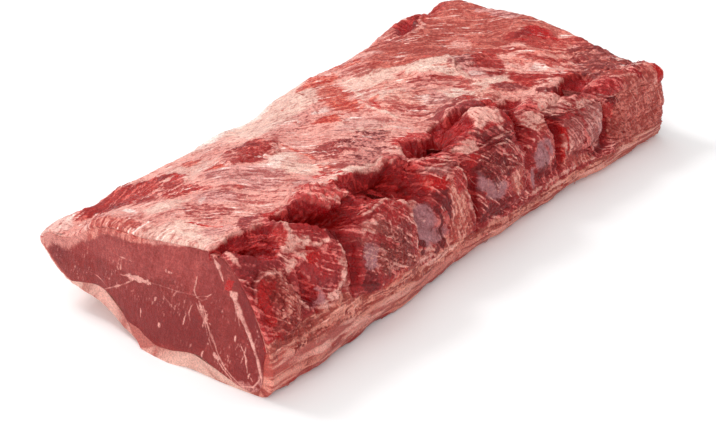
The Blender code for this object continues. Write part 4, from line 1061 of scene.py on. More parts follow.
def buildBody(name, start, end, material):
    xs = endStations(start, end, body["spacing"], start <= -halfLength, end >= halfLength)[:, None]
    count = len(xs)
    edge = sizeAt("fatEdge", xs) + body["overlap"]
    top = np.linspace(0, 1, body["topSteps"], endpoint=False)[None, :]
    side = 1 + (edge - 1) * np.linspace(0, 1, body["sideSteps"])[None, :]
    under = edge + (3 - edge) * np.linspace(0, 1, body["underSteps"] + 2)[None, 1:-1]
    v = np.concatenate([np.broadcast_to(top, (count, top.shape[1])), side, under], 1)
    x = np.broadcast_to(xs, v.shape)
    s = roundMm(v)
    outer = v <= edge + 1e-9
    form, cleft = surfaceHeight(x, v)
    flap, rim, tuckedShade = flapForm(x, s)
    hair, fine = streaks(x, s, 0.75, 9, 62), streaks(x, s, 1.25, 6, 61)
    middle, wide = streaks(x, s, 2.3, 5, 65), streaks(x, s, 4.8, 3, 71)
    inBand = smoothstep(-0.03, 0.02, v - np.interp(x, bandX, bandV))
    hair = hair + (longFibres(x, s, 11, 0.8, 231) - hair) * inBand
    fine = fine + (longFibres(x, s, 17, 1.4, 236) - fine) * inBand
    middle = middle + (longFibres(x, s, 26, 2.6, 241) - middle) * inBand
    noises = {"wide": wide, "middle": middle, "fine": fine, "small": layered(x, s, 4, 3, 57)}
    fray = blend(noises, bodyLook["fray"])
    wide, middle = wide * (1 - 0.6 * inBand), middle * (1 - 0.4 * inBand)
    paint = bodyPaint(x, s, v, fray)
    stripes = noise(s + 0.25 * (x + 210), x / 30, 1.5, 221) + 0.4 * noise(x, s, 2.5, 222)
    bevel = smoothstep(-205, -208, x + 5 * fray) * smoothstep(0.30, 0.36, v) * smoothstep(0.62, 0.55, v)
    paint.add("coral", 0.75 * bevel)
    paint.add("redLean", 0.5 * bevel * smoothstep(0.1, 0.5, -stripes))
    pale = smoothstep(-203, -207, x + 5 * fray) * smoothstep(0.58, 0.66, v) * smoothstep(0.97, 0.92, v)
    paint.add("cream", 0.7 * pale)
    rough, streaky = paint.values[..., roughAt].copy(), paint.values[..., streakyAt].copy()
    broken = smoothstep(-0.5, 0.5, layered(x, s, 7, 3, 223))
    # Pale membrane edge along each flap's lip, brightened as painted highlight.
    paint.add("paleFat", 0.95 * rim * (0.25 + 0.75 * broken))
    # Painted shade: dark red just under flap edges and on the walls of clefts.
    paint.add("shadedWall", 0.75 * tuckedShade * (0.4 + 0.6 * broken))
    paint.add("shadedWall", smoothstep(1.0, 3.2, cleft + fray * 4))
    # Painted shade: near-black red deep in the clefts.
    paint.add("cavityShade", smoothstep(5.5, 11.0, cleft + fray * 4))
    # Painted highlights: short white streaks along the fibres, kept out of clefts.
    paintedGlints = smoothstep(1.25, 1.75, hair + 0.7 * fine) * smoothstep(-0.2, 0.5, layered(x, s, 14, 2, 251))
    paintedGlints = paintedGlints * smoothstep(1.5, 0.3, cleft)
    paint.add("white", 0.65 * paintedGlints * smoothstep(1.0, 0.97, v))
    paint.add("paleFat", 0.7 * paintedGlints * smoothstep(0.97, 1.0, v))
    mottle, folds = layered(x, s, 5, 3, 85), layered(x, s, 12, 3, 91)
    border, own = cells(x + 1.5 * mottle, s + 1.5 * folds, 5.5, 203)
    noises = {
        "hair": hair, "fine": fine, "middle": middle, "wide": wide, "mottle": mottle, "folds": folds,
        "large": layered(x, s, 30, 2, 81), "grain": layered(x, s, 1.6, 2, 87), "tuckedShade": tuckedShade,
        # Thin dark lines and pale strands along the fibres: painted shade in the grooves, painted highlight
        # on the strands.
        "crackShadeAndGlints": smoothstep(0.8, 1.5, -hair - 0.5 * fine) - smoothstep(0.8, 1.5, hair + 0.5 * fine),
        # Painted light: lighter ribs on the cleft walls, with no relief of their own.
        "ribLight": smoothstep(4, 9, cleft) * np.abs(noise(x / 3.6, s / 16, 1, 235)),
    }
    paint.values[..., coverAt] += streaky * blend(noises, bodyLook["fibreCover"])
    paint.values[..., coverAt] += blend(noises, bodyLook["cover"])
    paint.shade(blend(noises, bodyLook["tone"]) + streaky * blend(noises, bodyLook["fibreTone"]))
    paint.values[..., threadsAt] *= smoothstep(-0.1, 0.5, layered(x, s, 16, 2, 99))
    for fibre in bodyLook["fibreRelief"]:
        noises[fibre] = np.abs(noises[fibre])
    noises["bumps"], noises["swells"] = np.abs(layered(x, s, 4.5, 2, 95)), np.abs(mottle)
    noises["lumps"] = smoothstep(0, 0.5, border) + 0.6 * own
    relief = rough * blend(noises, bodyLook["relief"]) + streaky * blend(noises, bodyLook["fibreRelief"])
    relief = (relief + paint.height + flap) * smoothstep(0, 0.05, v)
    height = form - cleft + relief - endRounding(x, v)
    away = np.minimum(x + halfLength, halfLength - x)
    depth = -fatDepthAt(x, v) * (body["under"] + 0.5 * smoothstep(8, 1, away))
    reach = np.where(outer, height, depth)
    grown = outer & (cleft < growth["cleft"]) & (away > growth["fromEnd"])
    paint.values[..., threadsAt:] *= grown[..., None]
    rings = endShaped(skin(x, v) + outward(x, v) * reach[..., None])
    hollow = [body["hollow"] if abs(at) >= halfLength else 0 for at in (start, end)]
    made = ringMesh(name, rings, paint.values, material, fibreWay(x, s, v), hollow)
    print(name + ":", len(made.data.polygons), "faces")
    return made


# The fresh cut, all in mm. Its patches and lines are given as on the skin, but with y and z.
cutFace = {
    "spacing": 0.48, "rows": 172, "backRows": 3, "thick": 3.0, "proud": 0.4, "inset": -0.1, "rim": 0.6,
    "farSpacing": 0.7, "farRows": 84,
    # depth of the film under the top edge at each y, and inside the flank's edge at each z
    "topFilm": (
        (-74, 0.01), (-60, 0.4), (-42, 0.8), (-20, 3), (-13, 4), (0, 4), (31, 5.6), (44, 7.5), (60, 8),
        (80, 9),
    ),
    "flankFilm": ((20, 1.5), (32, 3), (42, 6), (60, 9)),
    "cover": {"fibres": 0.07, "coarse": 0.05, "mottle": 0.08},
    "tone": {"large": 0.07, "spots": 0.05, "coarse": 0.04},
    "relief": {"swells": 0.5, "bumps": 0.14, "fibres": 0.08},
}
cutPatches = {
    "pinkTop": ("cutPink", (-10, 66, 60, 13, 0.8, -14), (-40, 70, 24, 15, 0.7), (40, 54, 30, 8, 0.6, -14)),
    "redTail": ("redLean", (58, 46, 18, 10, 0.35, 10)),
    "darkTail": ("darkLean", (70, 42, 5, 11, 0.6, 10), (73, 48, 4, 6, 0.5)),
    "lowDark": (
        "cutDark", (-20, 25, 44, 15, 0.7, -8), (-88, 22, 10, 16, 0.7), (40, 40, 34, 8, 0.3),
        (-62, 62, 10, 20, 0.4),
    ),
    "rightDark": ("cutDark", (-93, 64, 13, 12, 1, -30), (-100, 44, 10, 26)),
    "lens": ("cutFat", (-1, 46.5, 9.5, 1.9, 1, -8), (8, 45.2, 6, 0.8, 0.7, -10)),
    "red": ("brightRed", (-76, 71, 3, 4.6, 0.95, 30), (-106, 34, 2.5, 18, 0.8)),
    "corner": ("cutFat", (-66, 82, 3, 1.6, 0.8, 50)),
    "seamHead": ("cutFat", (-79.5, 64.5, 2.3, 3.2, 0.95, 30)),
    "lowFilm": ("greyPink", (-92, 2, 16, 5, 0.9), (-103, 10, 5, 10, 0.9)),
    "flecks": (
        "cutFat", (13, 56, 2.8, 0.35, 0.8, -6), (7, 56.5, 1.4, 0.3, 0.7), (15, 49, 0.6, 2.2, 0.9),
        (-28, 62, 2, 0.8, 0.9), (-25, 62, 0.6, 1.2, 0.8), (-3, 24, 0.5, 2.6), (-16, 38, 0.9, 1.8, 1, 24),
        (-20, 22, 1.3, 2), (-40, 34, 0.5, 3.8, 1, 12), (-61, 38, 1.4, 0.6, 0.8), (-81, 35, 0.6, 3.2, 1, 6),
        (-86, 22, 0.4, 2.6, 0.8, 12), (-91, 13, 0.5, 2, 0.9, 20), (-93, 11, 0.4, 1.6, 0.8, -20),
        (-67, 18, 2.6, 1.6, 1, 20), (-60, 24, 1, 0.6, 0.8), (-56, 16, 0.7, 2.4, 1, 10),
        (57, 33, 0.6, 1.4, 0.8), (64, 44, 0.4, 3, 0.8, -40), (2, 33, 0.4, 2, 0.6), (-24, 31, 0.4, 1.6, 0.6),
        (-88, 30, 0.4, 2.4, 0.8, 10), (-33, 50, 0.4, 2.4, 0.6, 30), (-80, 50, 0.4, 5, 0.5, 6),
    ),
}
cutLines = {
    "seamA": ("cutFat", 0.5, 0.75, 0.3, (30, 27), (20, 33), (12, 38), (4, 44)),
    "seamB": ("cutFat", 0.3, 0.5, 0.1, (-6, 48), (-20, 50), (-36, 52), (-49, 54)),
    "branch": ("cutFat", 0.35, 0.8, 0.2, (-50, 68), (-49, 62), (-48, 57), (-50, 53)),
    "branchB": ("cutFat", 0.45, 0.8, 0.2, (-50, 53), (-54, 52), (-58, 55)),
    "strandA": ("cutFat", 0.8, 0.85, 0.4, (-52, 51), (-55, 45), (-57, 41), (-61, 34), (-64, 27)),
    "strandB": ("cutFat", 0.5, 0.85, 0.3, (-55, 49), (-58, 44), (-59, 38), (-62, 32)),
    "strandC": ("cutFat", 0.4, 0.8, 0.3, (-50, 49), (-52, 45), (-55, 40)),
    "strandD": ("cutFat", 0.45, 0.8, 0.3, (-66, 24), (-69, 19), (-72, 15), (-74, 11)),
    "strandE": ("cutFat", 0.5, 0.9, 0.3, (-53, 46), (-56.3, 39), (-55.3, 34)),
    "strandF": ("cutFat", 0.6, 0.9, 0.3, (-57.4, 43), (-60.5, 35), (-63.7, 30.5), (-66.8, 23)),
    "strandG": ("cutFat", 0.5, 0.9, 0.3, (-67, 18), (-72, 11), (-78.5, 5.8)),
    "strandH": ("cutFat", 0.5, 0.9, 0.3, (-85.4, 32), (-89, 25), (-90, 15)),
    "strandI": ("cutFat", 0.35, 0.8, 0.2, (-50, 53), (-54, 55), (-59, 57), (-62, 60)),
    "strandJ": ("cutFat", 0.4, 0.8, 0.2, (-46, 46), (-44, 40), (-45, 35)),
    "strandK": ("cutFat", 0.35, 0.7, 0.2, (-20, 50), (-24, 44), (-33, 38)),
    "strandL": ("cutFat", 0.35, 0.7, 0.2, (27, 29), (36, 33), (46, 34)),
    "strandM": ("cutFat", 0.4, 0.8, 0.3, (-52, 48), (-55, 46), (-58.5, 46.5)),
    "strandN": ("cutFat", 0.4, 0.8, 0.3, (-53.5, 43), (-57, 41), (-60, 41.5)),
    "strandO": ("cutFat", 0.5, 0.9, 0.3, (-59.5, 45), (-57, 38), (-59.5, 30)),
    "strandP": ("cutFat", 0.4, 0.8, 0.3, (-63, 35), (-60.5, 28), (-63.5, 22)),
    "longSeam": ("cutFat", 1.8, 1, 0.5, (-78, 66), (-79, 64), (-81, 60), (-85, 53), (-89, 46), (-92, 41)),
    "longSeamLow": (
        "cutFat", 1.1, 1, 0.4, (-87, 49), (-91, 42), (-94, 36), (-97, 29), (-99, 22), (-101, 12),
    ),
    "seamBranch": ("cutFat", 0.5, 0.8, 0.3, (-80, 61), (-82, 54), (-83, 49), (-84, 45)),
    "lowSeam": (
        "cutFat", 0.5, 0.9, 0.3, (-71, 15), (-78, 8.5), (-86, 3.5), (-94, 5.5), (-98, 11), (-100, 17),
    ),
    "topEdge": ("cutFat", 0.9, 0.8, 0.4, (-62, 87), (-65, 82), (-68, 78), (-71, 72)),
    "arcA": ("cutPink", 0.4, 0.6, 0.1, (-14, 34), (-18, 40), (-25, 43), (-30, 39)),
    "arcB": ("cutPink", 0.4, 0.5, 0.1, (-10, 30), (-14, 42), (-26, 48), (-36, 40)),
}

farCutPatches = {
    "pink": ("cutPink", (-34, 44, 46, 9, 0.8, -4), (44, 36, 36, 9, 0.6, -14), (-70, 20, 12, 14, 0.6)),
    "dark": ("cutDark", (-20, 18, 50, 10, 0.8), (60, 20, 24, 8, 0.7, -10), (-88, 36, 8, 14, 0.7)),
    "lens": ("cutFat", (-12, 33, 9, 1.6, 1, -10), (24, 26, 6, 1.2, 0.9, -24), (-52, 28, 1.4, 3.4, 0.9, 10)),
    "rim": ("film", (-40, 57, 40, 2.4, 0.7, 4), (30, 51, 34, 2.2, 0.7, -16), (84, 34, 20, 2.4, 0.7, -42)),
}
farCutLines = {
    "longSeam": ("cutFat", 1, 0.9, 0.4, (-64, 53), (-69, 44), (-72, 34), (-71, 24), (-76, 14), (-84, 7)),
    "seamBranch": ("cutFat", 0.6, 0.8, 0.3, (-72, 34), (-80, 28), (-86, 20), (-88, 12)),
    "upperSeam": ("cutFat", 0.7, 0.8, 0.3, (-48, 40), (-34, 36), (-20, 35), (-6, 32), (10, 31), (26, 25)),
    "tailSeam": ("cutFat", 0.6, 0.8, 0.3, (30, 38), (44, 34), (56, 27), (70, 24), (80, 18)),
    "lowSeam": ("cutFat", 0.5, 0.7, 0.3, (-40, 14), (-26, 17), (-10, 14), (4, 16), (20, 13)),
    "strandA": ("cutFat", 0.5, 0.8, 0.3, (-48, 40), (-52, 32), (-50, 22), (-56, 14)),
    "strandB": ("cutFat", 0.5, 0.8, 0.3, (-6, 32), (-2, 24), (-6, 17)),
    "strandC": ("cutFat", 0.5, 0.8, 0.3, (56, 27), (52, 20), (56, 12)),
}


def faceEdge(end):
    # the lean's outline at an end, as upper and lower edges that meet at its widest place on the chine side
    v = np.linspace(0, 3, 2400)
    x = np.full(len(v), end * halfLength)
    form, cleft = surfaceHeight(x, v)
    bare = form - np.minimum(cleft, 2) - endRounding(x, v)
    top = np.where(v < sizeAt("fatEdge", x), bare, -fatDepthAt(x, v))
    points = (skin(x, v) + outward(x, v) * (top - cutFace["inset"])[..., None])[:, 1:]
    widest = int(np.argmin(points[:, 0]))
    return points[:widest + 1], points[:widest - 1:-1]


def edgeHeights(ys, upper, lower):
    topZ = np.interp(-ys, -np.maximum.accumulate(upper[::-1, 0])[::-1], upper[:, 1])
    lowZ = np.interp(-ys, -np.maximum.accumulate(lower[::-1, 0])[::-1], lower[:, 1])
    return topZ, np.minimum(lowZ, topZ - 0.4)


def cutFibres(y, z, size, seed):
    # thin fibres that fan down and to the right over the cut
    lean = np.interp(y, [-100, -50, 20, 80], [0.9, 0.5, -0.2, 0.5])
    a, b = y + lean * (z - 45) * 0.4, z
    return noise(a / 1.0, b / 4.5, size, seed) + 0.6 * noise(a / 0.5, b / 3.0, size, seed + 1)


def buildFace(name, end, material, spacing, rows):
    upper, lower = faceEdge(end)
    high = (min(upper[0, 0], lower[0, 0]) if end < 0 else upper[:, 0].max()) - 0.15
    low = max(upper[-1, 0], lower[-1, 0]) + 0.15
    ys = np.linspace(high, low, int((high - low) / spacing))[:, None]
    topZ, lowZ = edgeHeights(ys, upper, lower)
    t = np.linspace(0, 1, rows)[None, :]
    y, z = np.broadcast_arrays(ys, lowZ + (topZ - lowZ) * t)
    fray = 0.4 * layered(y, z, 2.4, 3, 127)
    paint = Paint(y, z, "cutLean", 0.3, fray)
    below, beside = topZ - z, np.minimum(high - y, y - low)
    usual = np.interp(y, *zip(*cutFace["topFilm"])) * (1 + 0.25 * layered(y, 0 * z, 9, 2, 128))
    band = np.maximum(usual + 0.5 * noise(y, z / 6, 1.6, 129), 0.01)
    side = np.interp(z, *zip(*cutFace["flankFilm"])) * (1 + 0.3 * layered(z, 0 * y, 9, 2, 130))
    if end < 0:
        paint.addPatches(cutPatches, list)
        rim = np.maximum(smoothstep(1.3, 0.6, below / band), smoothstep(1.4, 0.6, (high - y) / side))
        paint.add("film", 0.85 * rim)
        stripes = noise(y + 0.3 * z, z / 30, 1.5, 221) + 0.4 * noise(y, z, 2.5, 222)
        bevel = smoothstep(1.15, 0.8, below / band) * smoothstep(50, 40, y) * smoothstep(-12, -2, y)
        paint.add("coral", 0.8 * bevel)
        paint.add("redLean", 0.5 * bevel * smoothstep(0.1, 0.5, -stripes))
        paint.add("orangeRed", 0.6 * smoothstep(2.5, 0.8, z - lowZ) * smoothstep(58, 66, y))
        paint.addLines(cutLines, list)
    else:
        paint.addPatches(farCutPatches, list)
        paint.addLines(farCutLines, list)
    inside = np.minimum(below, beside)
    turned = cutFace["rim"] * (1 - smoothstep(0, cutFace["rim"] * 1.6, inside)) ** 2
    noises = {
        "fibres": cutFibres(y, z, 1.2, 131), "coarse": cutFibres(y, z, 2.6, 135),
        "mottle": layered(y, z, 3, 2, 137), "large": layered(y, z, 30, 2, 141),
        "spots": layered(y, z, 5, 2, 144), "swells": layered(y, z, 26, 2, 121),
        "bumps": layered(y, z, 5, 2, 125),
    }
    strokes = noise((y + 0.25 * z) / 0.75, z / 3.6, 1, 145) + 0.3 * noise(y, z, 1.2, 146)
    marbled = smoothstep(-0.2, 0.5, layered(y, z, 18, 2, 147)) * smoothstep(66, 50, z) * (inside > 4)
    paint.add("cutFat", 0.6 * smoothstep(0.58, 0.78, strokes) * marbled)
    paint.values[..., coverAt] += blend(noises, cutFace["cover"])
    paint.shade(blend(noises, cutFace["tone"]))
    relief = blend(noises, cutFace["relief"]) + paint.height
    x = np.full(y.shape, -halfLength)
    front = np.stack([x, y, z], -1)
    front = endShaped(front) if end < 0 else front
    front = front - np.stack([cutFace["proud"] + relief - turned, 0 * y, 0 * y], -1)
    downwards = np.linspace(1, 0, cutFace["backRows"])[None, :]
    backY, backZ = np.broadcast_arrays(ys, lowZ + (topZ - lowZ) * downwards)
    back = np.stack([np.full(backY.shape, -halfLength + cutFace["thick"]), backY, backZ], -1)
    rings = np.concatenate([front, back], 1)
    hidden = np.broadcast_to(tissueValues("cutLean"), back.shape[:2] + (columns,))
    values = np.concatenate([paint.values, hidden], 1)
    if end > 0:
        rings = (rings * [-1, 1, 1])[:, ::-1]
        values = values[:, ::-1]
    made = ringMesh(name, rings, values, material)
    print(name + ":", len(made.data.polygons), "faces")
    return made


fatCap = {
    "spacing": 1.1, "steps": 112, "inner": 24, "raise": 0.7, "ragged": 0.030, "lip": 3.5, "arch": 3.0,
    "farInset": 3.5, "farThinned": 0.4, "archAt": 2.66, "archHalf": 0.11,
    "fray": {"wide": 0.10, "middle": 0.08},
    "cover": {"fine": 0.26, "middle": 0.16, "wide": 0.08},
    "tone": {"large": 0.08, "fine": 0.09, "middle": 0.06, "wide": 0.04},
    "relief": {"folds": 0.5, "fine": 0.3, "middle": 0.5, "wide": 0.6},
}
fatPatches = {
    "corner": ("coral", (-203, 1.84, 16, 13, 0.85), (-212, 1.92, 6, 12, 0.7), (-213, 1.7, 4, 8, 0.7)),
    "pale": (
        "paleFat", (-165, 1.8, 40, 3, 0.7, 2), (-110, 1.84, 40, 2.4, 0.7), (0, 1.86, 60, 2, 0.6),
        (-140, 1.88, 36, 1.6, 0.6), (110, 1.84, 60, 3, 0.6), (190, 1.82, 24, 4, 0.5),
        (-60, 1.82, 24, 1.6, 0.8, 3), (40, 1.8, 30, 1.6, 0.7, -2),
    ),
    "reds": (
        "redLean", (-180, 1.92, 22, 2, 0.8, 4), (-120, 1.94, 30, 2.4, 0.8), (-40, 1.92, 24, 2.6, 0.8),
        (60, 1.93, 40, 1.6, 0.5), (-150, 1.74, 30, 1.6, 0.5, 2), (-95, 1.76, 20, 1.6, 0.6),
        (-20, 1.84, 30, 1, 0.6, 2), (-150, 1.84, 30, 0.8, 0.6, 2), (90, 1.88, 30, 1, 0.5),
    ),
    "salmons": ("farSalmon", (-30, 1.86, 44, 6, 0.7), (30, 1.84, 30, 4, 0.5), (-190, 1.8, 14, 5, 0.4)),
    # Brown along the foot of the fat: its ragged edge, darkened with painted shade where it meets the floor.
    "browns": ("brownLean", (-170, 1.985, 46, 2.6, 0.8), (-70, 1.985, 60, 3, 0.9), (40, 1.985, 60, 2, 0.6)),
    "cutBand": ("orangeRed", (-214, 2.52, 3, 10, 0.8), (-214, 2.95, 3, 10, 0.5)),
}


def buildFat(material):
    xs = endStations(-halfLength, halfLength - fatCap["farInset"], fatCap["spacing"])[:, None]
    ragged = fatCap["ragged"] * layered(xs, 0 * xs, 15, 4, 151)
    edge = sizeAt("fatEdge", xs) + ragged
    share = np.linspace(0, 1, fatCap["steps"])[None, :]
    share = np.interp(share, [0, 0.42, 0.66, 1], [0, 0.20, 0.80, 1])
    v = edge + (3 - 1e-6 - edge) * share
    x = np.broadcast_to(xs, v.shape)
    s = roundMm(v)
    form, cleft = surfaceHeight(x, np.minimum(v, 2.0))
    fine, middle = longFibres(x, s, 14, 1.1, 161), longFibres(x, s, 22, 2.2, 166)
    wide = longFibres(x, s, 34, 4.4, 171)
    noises = {"fine": fine, "middle": middle, "wide": wide, "large": layered(x, s, 24, 2, 171)}
    paint = Paint(x, s, "bandFat", 0.35, blend(noises, fatCap["fray"]))
    paint.addPatches(fatPatches)
    paint.add("cream", 0.8 * smoothstep(2.02, 2.10, v))
    paint.add("film", 0.6 * smoothstep(0.1, 0.6, layered(x, s, 22, 3, 173)) * smoothstep(2.02, 2.10, v))
    paint.add("white", 0.5 * smoothstep(2.86, 2.96, v))
    paint.values[..., coverAt] += blend(noises, fatCap["cover"])
    paint.shade(blend(noises, fatCap["tone"]))
    onSides = smoothstep(2.04, 1.96, v) + smoothstep(2.5, 2.6, v)
    noises = {name: np.abs(one) for name, one in noises.items()}
    noises["folds"] = layered(x, s, 14, 3, 181)
    relief = blend(noises, fatCap["relief"])
    upper = fatCap["raise"] * smoothstep(0, 0.02, v - edge) * smoothstep(2.0, 1.9, v)
    thin = 1 - fatCap["farThinned"] * smoothstep(halfLength - 14, halfLength, x)
    depth = fatDepthAt(x, np.maximum(v, sizeAt("fatEdge", xs))) * thin
    joined = smoothstep(2.0, 1.9, v)
    height = (form - np.minimum(cleft, 3)) * joined + (relief - 0.6) * onSides + upper - endRounding(x, v)
    nearCut = smoothstep(-150, -205, x)
    height = height - fatCap["arch"] * nearCut * bell(v, fatCap["archAt"], fatCap["archHalf"])
    tip = smoothstep(2.95, 3.0, v)
    height = height * (1 - tip) - 0.4 * tip
    foot = 1.5 * np.clip(layered(x, 0 * x, 22, 3, 191), -0.6, 1.2) * bell(v, 1.97, 0.04)
    base, normal = skin(x, v), outward(x, v)
    outer = base + normal * (height + foot)[..., None]
    outer[..., 2] = np.maximum(outer[..., 2], 0)
    pick = np.linspace(0, fatCap["steps"] - 1, fatCap["inner"]).round().astype(int)
    inner = (base - normal * (depth + 0.2)[..., None])[:, pick]
    lip = smoothstep(-halfLength + 9, -halfLength, outer[..., 0]) * smoothstep(2, -6, outer[..., 1])
    lip = lip * smoothstep(-44, -30, outer[..., 1]) * smoothstep(12, 3, outer[..., 2])
    outer[..., 0] -= fatCap["lip"] * lip
    made = shellMesh("fatCap", endShaped(outer), endShaped(inner), paint, pick, material, fibreWay(x, s, v))
    print("fat cap:", len(made.data.polygons), "faces")
    return made


def shellMesh(name, outer, inner, paint, pick, material, ways):
    # a layer between an outer and a coarser inner skin, closed along both edges and at both ends
    stations, steps = outer.shape[:2]
    few = len(pick)
    away = halfLength - np.abs(outer[..., 0])
    paint.values[..., threadsAt:] *= (away > growth["fromEnd"])[..., None]
    values = np.concatenate([paint.values, paint.values[:, pick]], 1)
    points = np.concatenate([outer, inner], 1)
    ways = np.concatenate([ways, ways[:, pick]], 1)
    count = steps + few
    i = np.arange(stations - 1)[:, None] * count
    j = np.arange(steps - 1)[None, :]
    faceSets = [np.stack([i + j, i + j + 1, i + count + j + 1, i + count + j], -1).reshape(-1, 4)]
    j = steps + np.arange(few - 1)[None, :]
    faceSets.append(np.stack([i + j + 1, i + j, i + count + j, i + count + j + 1], -1).reshape(-1, 4))
    for a, b, flip in ((0, steps, False), (steps - 1, count - 1, True)):
        quads = np.stack([i[:, 0] + b, i[:, 0] + a, i[:, 0] + count + a, i[:, 0] + count + b], -1)
        faceSets.append(quads[:, ::-1] if flip else quads)
    for first, flip in ((0, False), ((stations - 1) * count, True)):
        for k in range(few - 1):
            middle = steps + k + (np.arange(pick[k], pick[k + 1]) >= (pick[k] + pick[k + 1]) // 2)
            a = np.arange(pick[k], pick[k + 1])
            triangles = np.stack([a + first, middle + first, a + 1 + first], -1)
            faceSets.append(triangles[:, ::-1] if flip else triangles)
            half = (pick[k] + pick[k + 1]) // 2
            bridge = np.array([[half + first, steps + k + first, steps + k + 1 + first]])
            faceSets.append(bridge[:, ::-1] if flip else bridge)
    points, values, ways = points.reshape(-1, 3), values.reshape(-1, columns), ways.reshape(-1, 3)
    return meshObject(name, points, faceSets, values, material, ways, 4)


# Threads of sinew and crumbs of fat, which Geometry Nodes sets on the surface. Sizes in m.
threads = {"most": 16000.0, "shortest": 0.004, "longest": 0.014, "thickness": 0.00036, "wander": 0.0030}
crumbs = {"most": 60000.0, "smallest": 0.0004, "largest": 0.0011}


def growTree(name, numbers):
    tree = bpy.data.node_groups.new(name, "GeometryNodeTree")
    tree.interface.new_socket("Geometry", in_out="INPUT", socket_type="NodeSocketGeometry")
    for key in numbers:
        tree.interface.new_socket(key, in_out="INPUT", socket_type="NodeSocketFloat")
    tree.interface.new_socket("seed", in_out="INPUT", socket_type="NodeSocketInt")
    tree.interface.new_socket("finish", in_out="INPUT", socket_type="NodeSocketMaterial")
    tree.interface.new_socket("Geometry", in_out="OUTPUT", socket_type="NodeSocketGeometry")
    return tree, tree.nodes.new("NodeGroupInput").outputs, nodeMaker(tree)


def scatter(node, given, attribute):
    # points on the faces, as many as the attribute asks for, turned with the fibres
    wanted = node("GeometryNodeInputNamedAttribute", {"Name": attribute}, data_type="FLOAT")
    density = node("ShaderNodeMath", {0: wanted.outputs["Attribute"], 1: given["most"]}, operation="MULTIPLY")
    points = node(
        "GeometryNodeDistributePointsOnFaces",
        {"Mesh": given["Geometry"], "Density": density.outputs[0], "Seed": given["seed"]},
    )
    way = node("GeometryNodeInputNamedAttribute", {"Name": "way"}, data_type="FLOAT_VECTOR")
    turned = node(
        "FunctionNodeAlignRotationToVector",
        {"Rotation": points.outputs["Rotation"], "Vector": way.outputs["Attribute"]},
        axis="X", pivot_axis="Z",
    )
    return points.outputs["Points"], turned.outputs["Rotation"]


def finishTree(tree, node, given, instances, wander=None):
    real = node("GeometryNodeRealizeInstances", {"Geometry": instances}).outputs["Geometry"]
    if wander is not None:
        place = node("GeometryNodeInputPosition").outputs[0]
        stray = node("ShaderNodeTexNoise", {"Vector": place, "Scale": 120.0, "Detail": 1.0})
        shares = {0: stray.outputs["Color"], 1: (0.5, 0.5, 0.5)}
        middle = node("ShaderNodeVectorMath", shares, operation="SUBTRACT")
        offset = node("ShaderNodeVectorMath", {0: middle.outputs[0], "Scale": wander}, operation="SCALE")
        moved = node("GeometryNodeSetPosition", {"Geometry": real, "Offset": offset.outputs[0]})
        real = moved.outputs["Geometry"]
    smooth = node("GeometryNodeSetShadeSmooth", {0: real}).outputs[0]
    done = node("GeometryNodeSetMaterial", {"Geometry": smooth, "Material": given["finish"]})
    tree.links.new(done.outputs["Geometry"], tree.nodes.new("NodeGroupOutput").inputs[0])
    return tree


def threadTree():
    tree, given, node = growTree("sinewThreads", threads)
    points, turn = scatter(node, given, "threads")
    line = node("GeometryNodeCurvePrimitiveLine", {"Start": (-0.5, 0, 0), "End": (0.5, 0, 0)}).outputs[0]
    fine = node("GeometryNodeResampleCurve", {"Curve": line, "Count": 8}).outputs[0]
    along = node("GeometryNodeSplineParameter").outputs["Factor"]
    angle = node("ShaderNodeMath", {0: along, 1: math.pi}, operation="MULTIPLY").outputs[0]
    taper = node("ShaderNodeMath", {0: angle}, operation="SINE").outputs[0]
    kept = node("ShaderNodeMath", {0: taper, 1: 0.06}, operation="ADD").outputs[0]
    tapered = node("GeometryNodeSetCurveRadius", {"Curve": fine, "Radius": kept}).outputs[0]
    ring = node("GeometryNodeCurvePrimitiveCircle", {"Resolution": 5, "Radius": 0.5}).outputs[0]
    tube = node("GeometryNodeCurveToMesh", {"Curve": tapered, "Profile Curve": ring, "Fill Caps": True})
    length = node("FunctionNodeRandomValue", {2: given["shortest"], 3: given["longest"]}, data_type="FLOAT")
    size = node("ShaderNodeCombineXYZ", {0: length.outputs[1], 1: given["thickness"], 2: given["thickness"]})
    placed = node(
        "GeometryNodeInstanceOnPoints",
        {"Points": points, "Instance": tube.outputs[0], "Rotation": turn, "Scale": size.outputs[0]},
    )
    return finishTree(tree, node, given, placed.outputs[0], given["wander"])


def crumbTree():
    tree, given, node = growTree("fatCrumbs", crumbs)
    points, turn = scatter(node, given, "crumbs")
    ball = node("GeometryNodeMeshIcoSphere", {"Radius": 1.0, "Subdivisions": 2}).outputs[0]
    radius = node("FunctionNodeRandomValue", {2: given["smallest"], 3: given["largest"]}, data_type="FLOAT")
    flat = node("ShaderNodeVectorMath", {0: (1.35, 0.9, 0.65), "Scale": radius.outputs[1]}, operation="SCALE")
    placed = node(
        "GeometryNodeInstanceOnPoints",
        {"Points": points, "Instance": ball, "Rotation": turn, "Scale": flat.outputs[0]},
    )
    return finishTree(tree, node, given, placed.outputs[0])


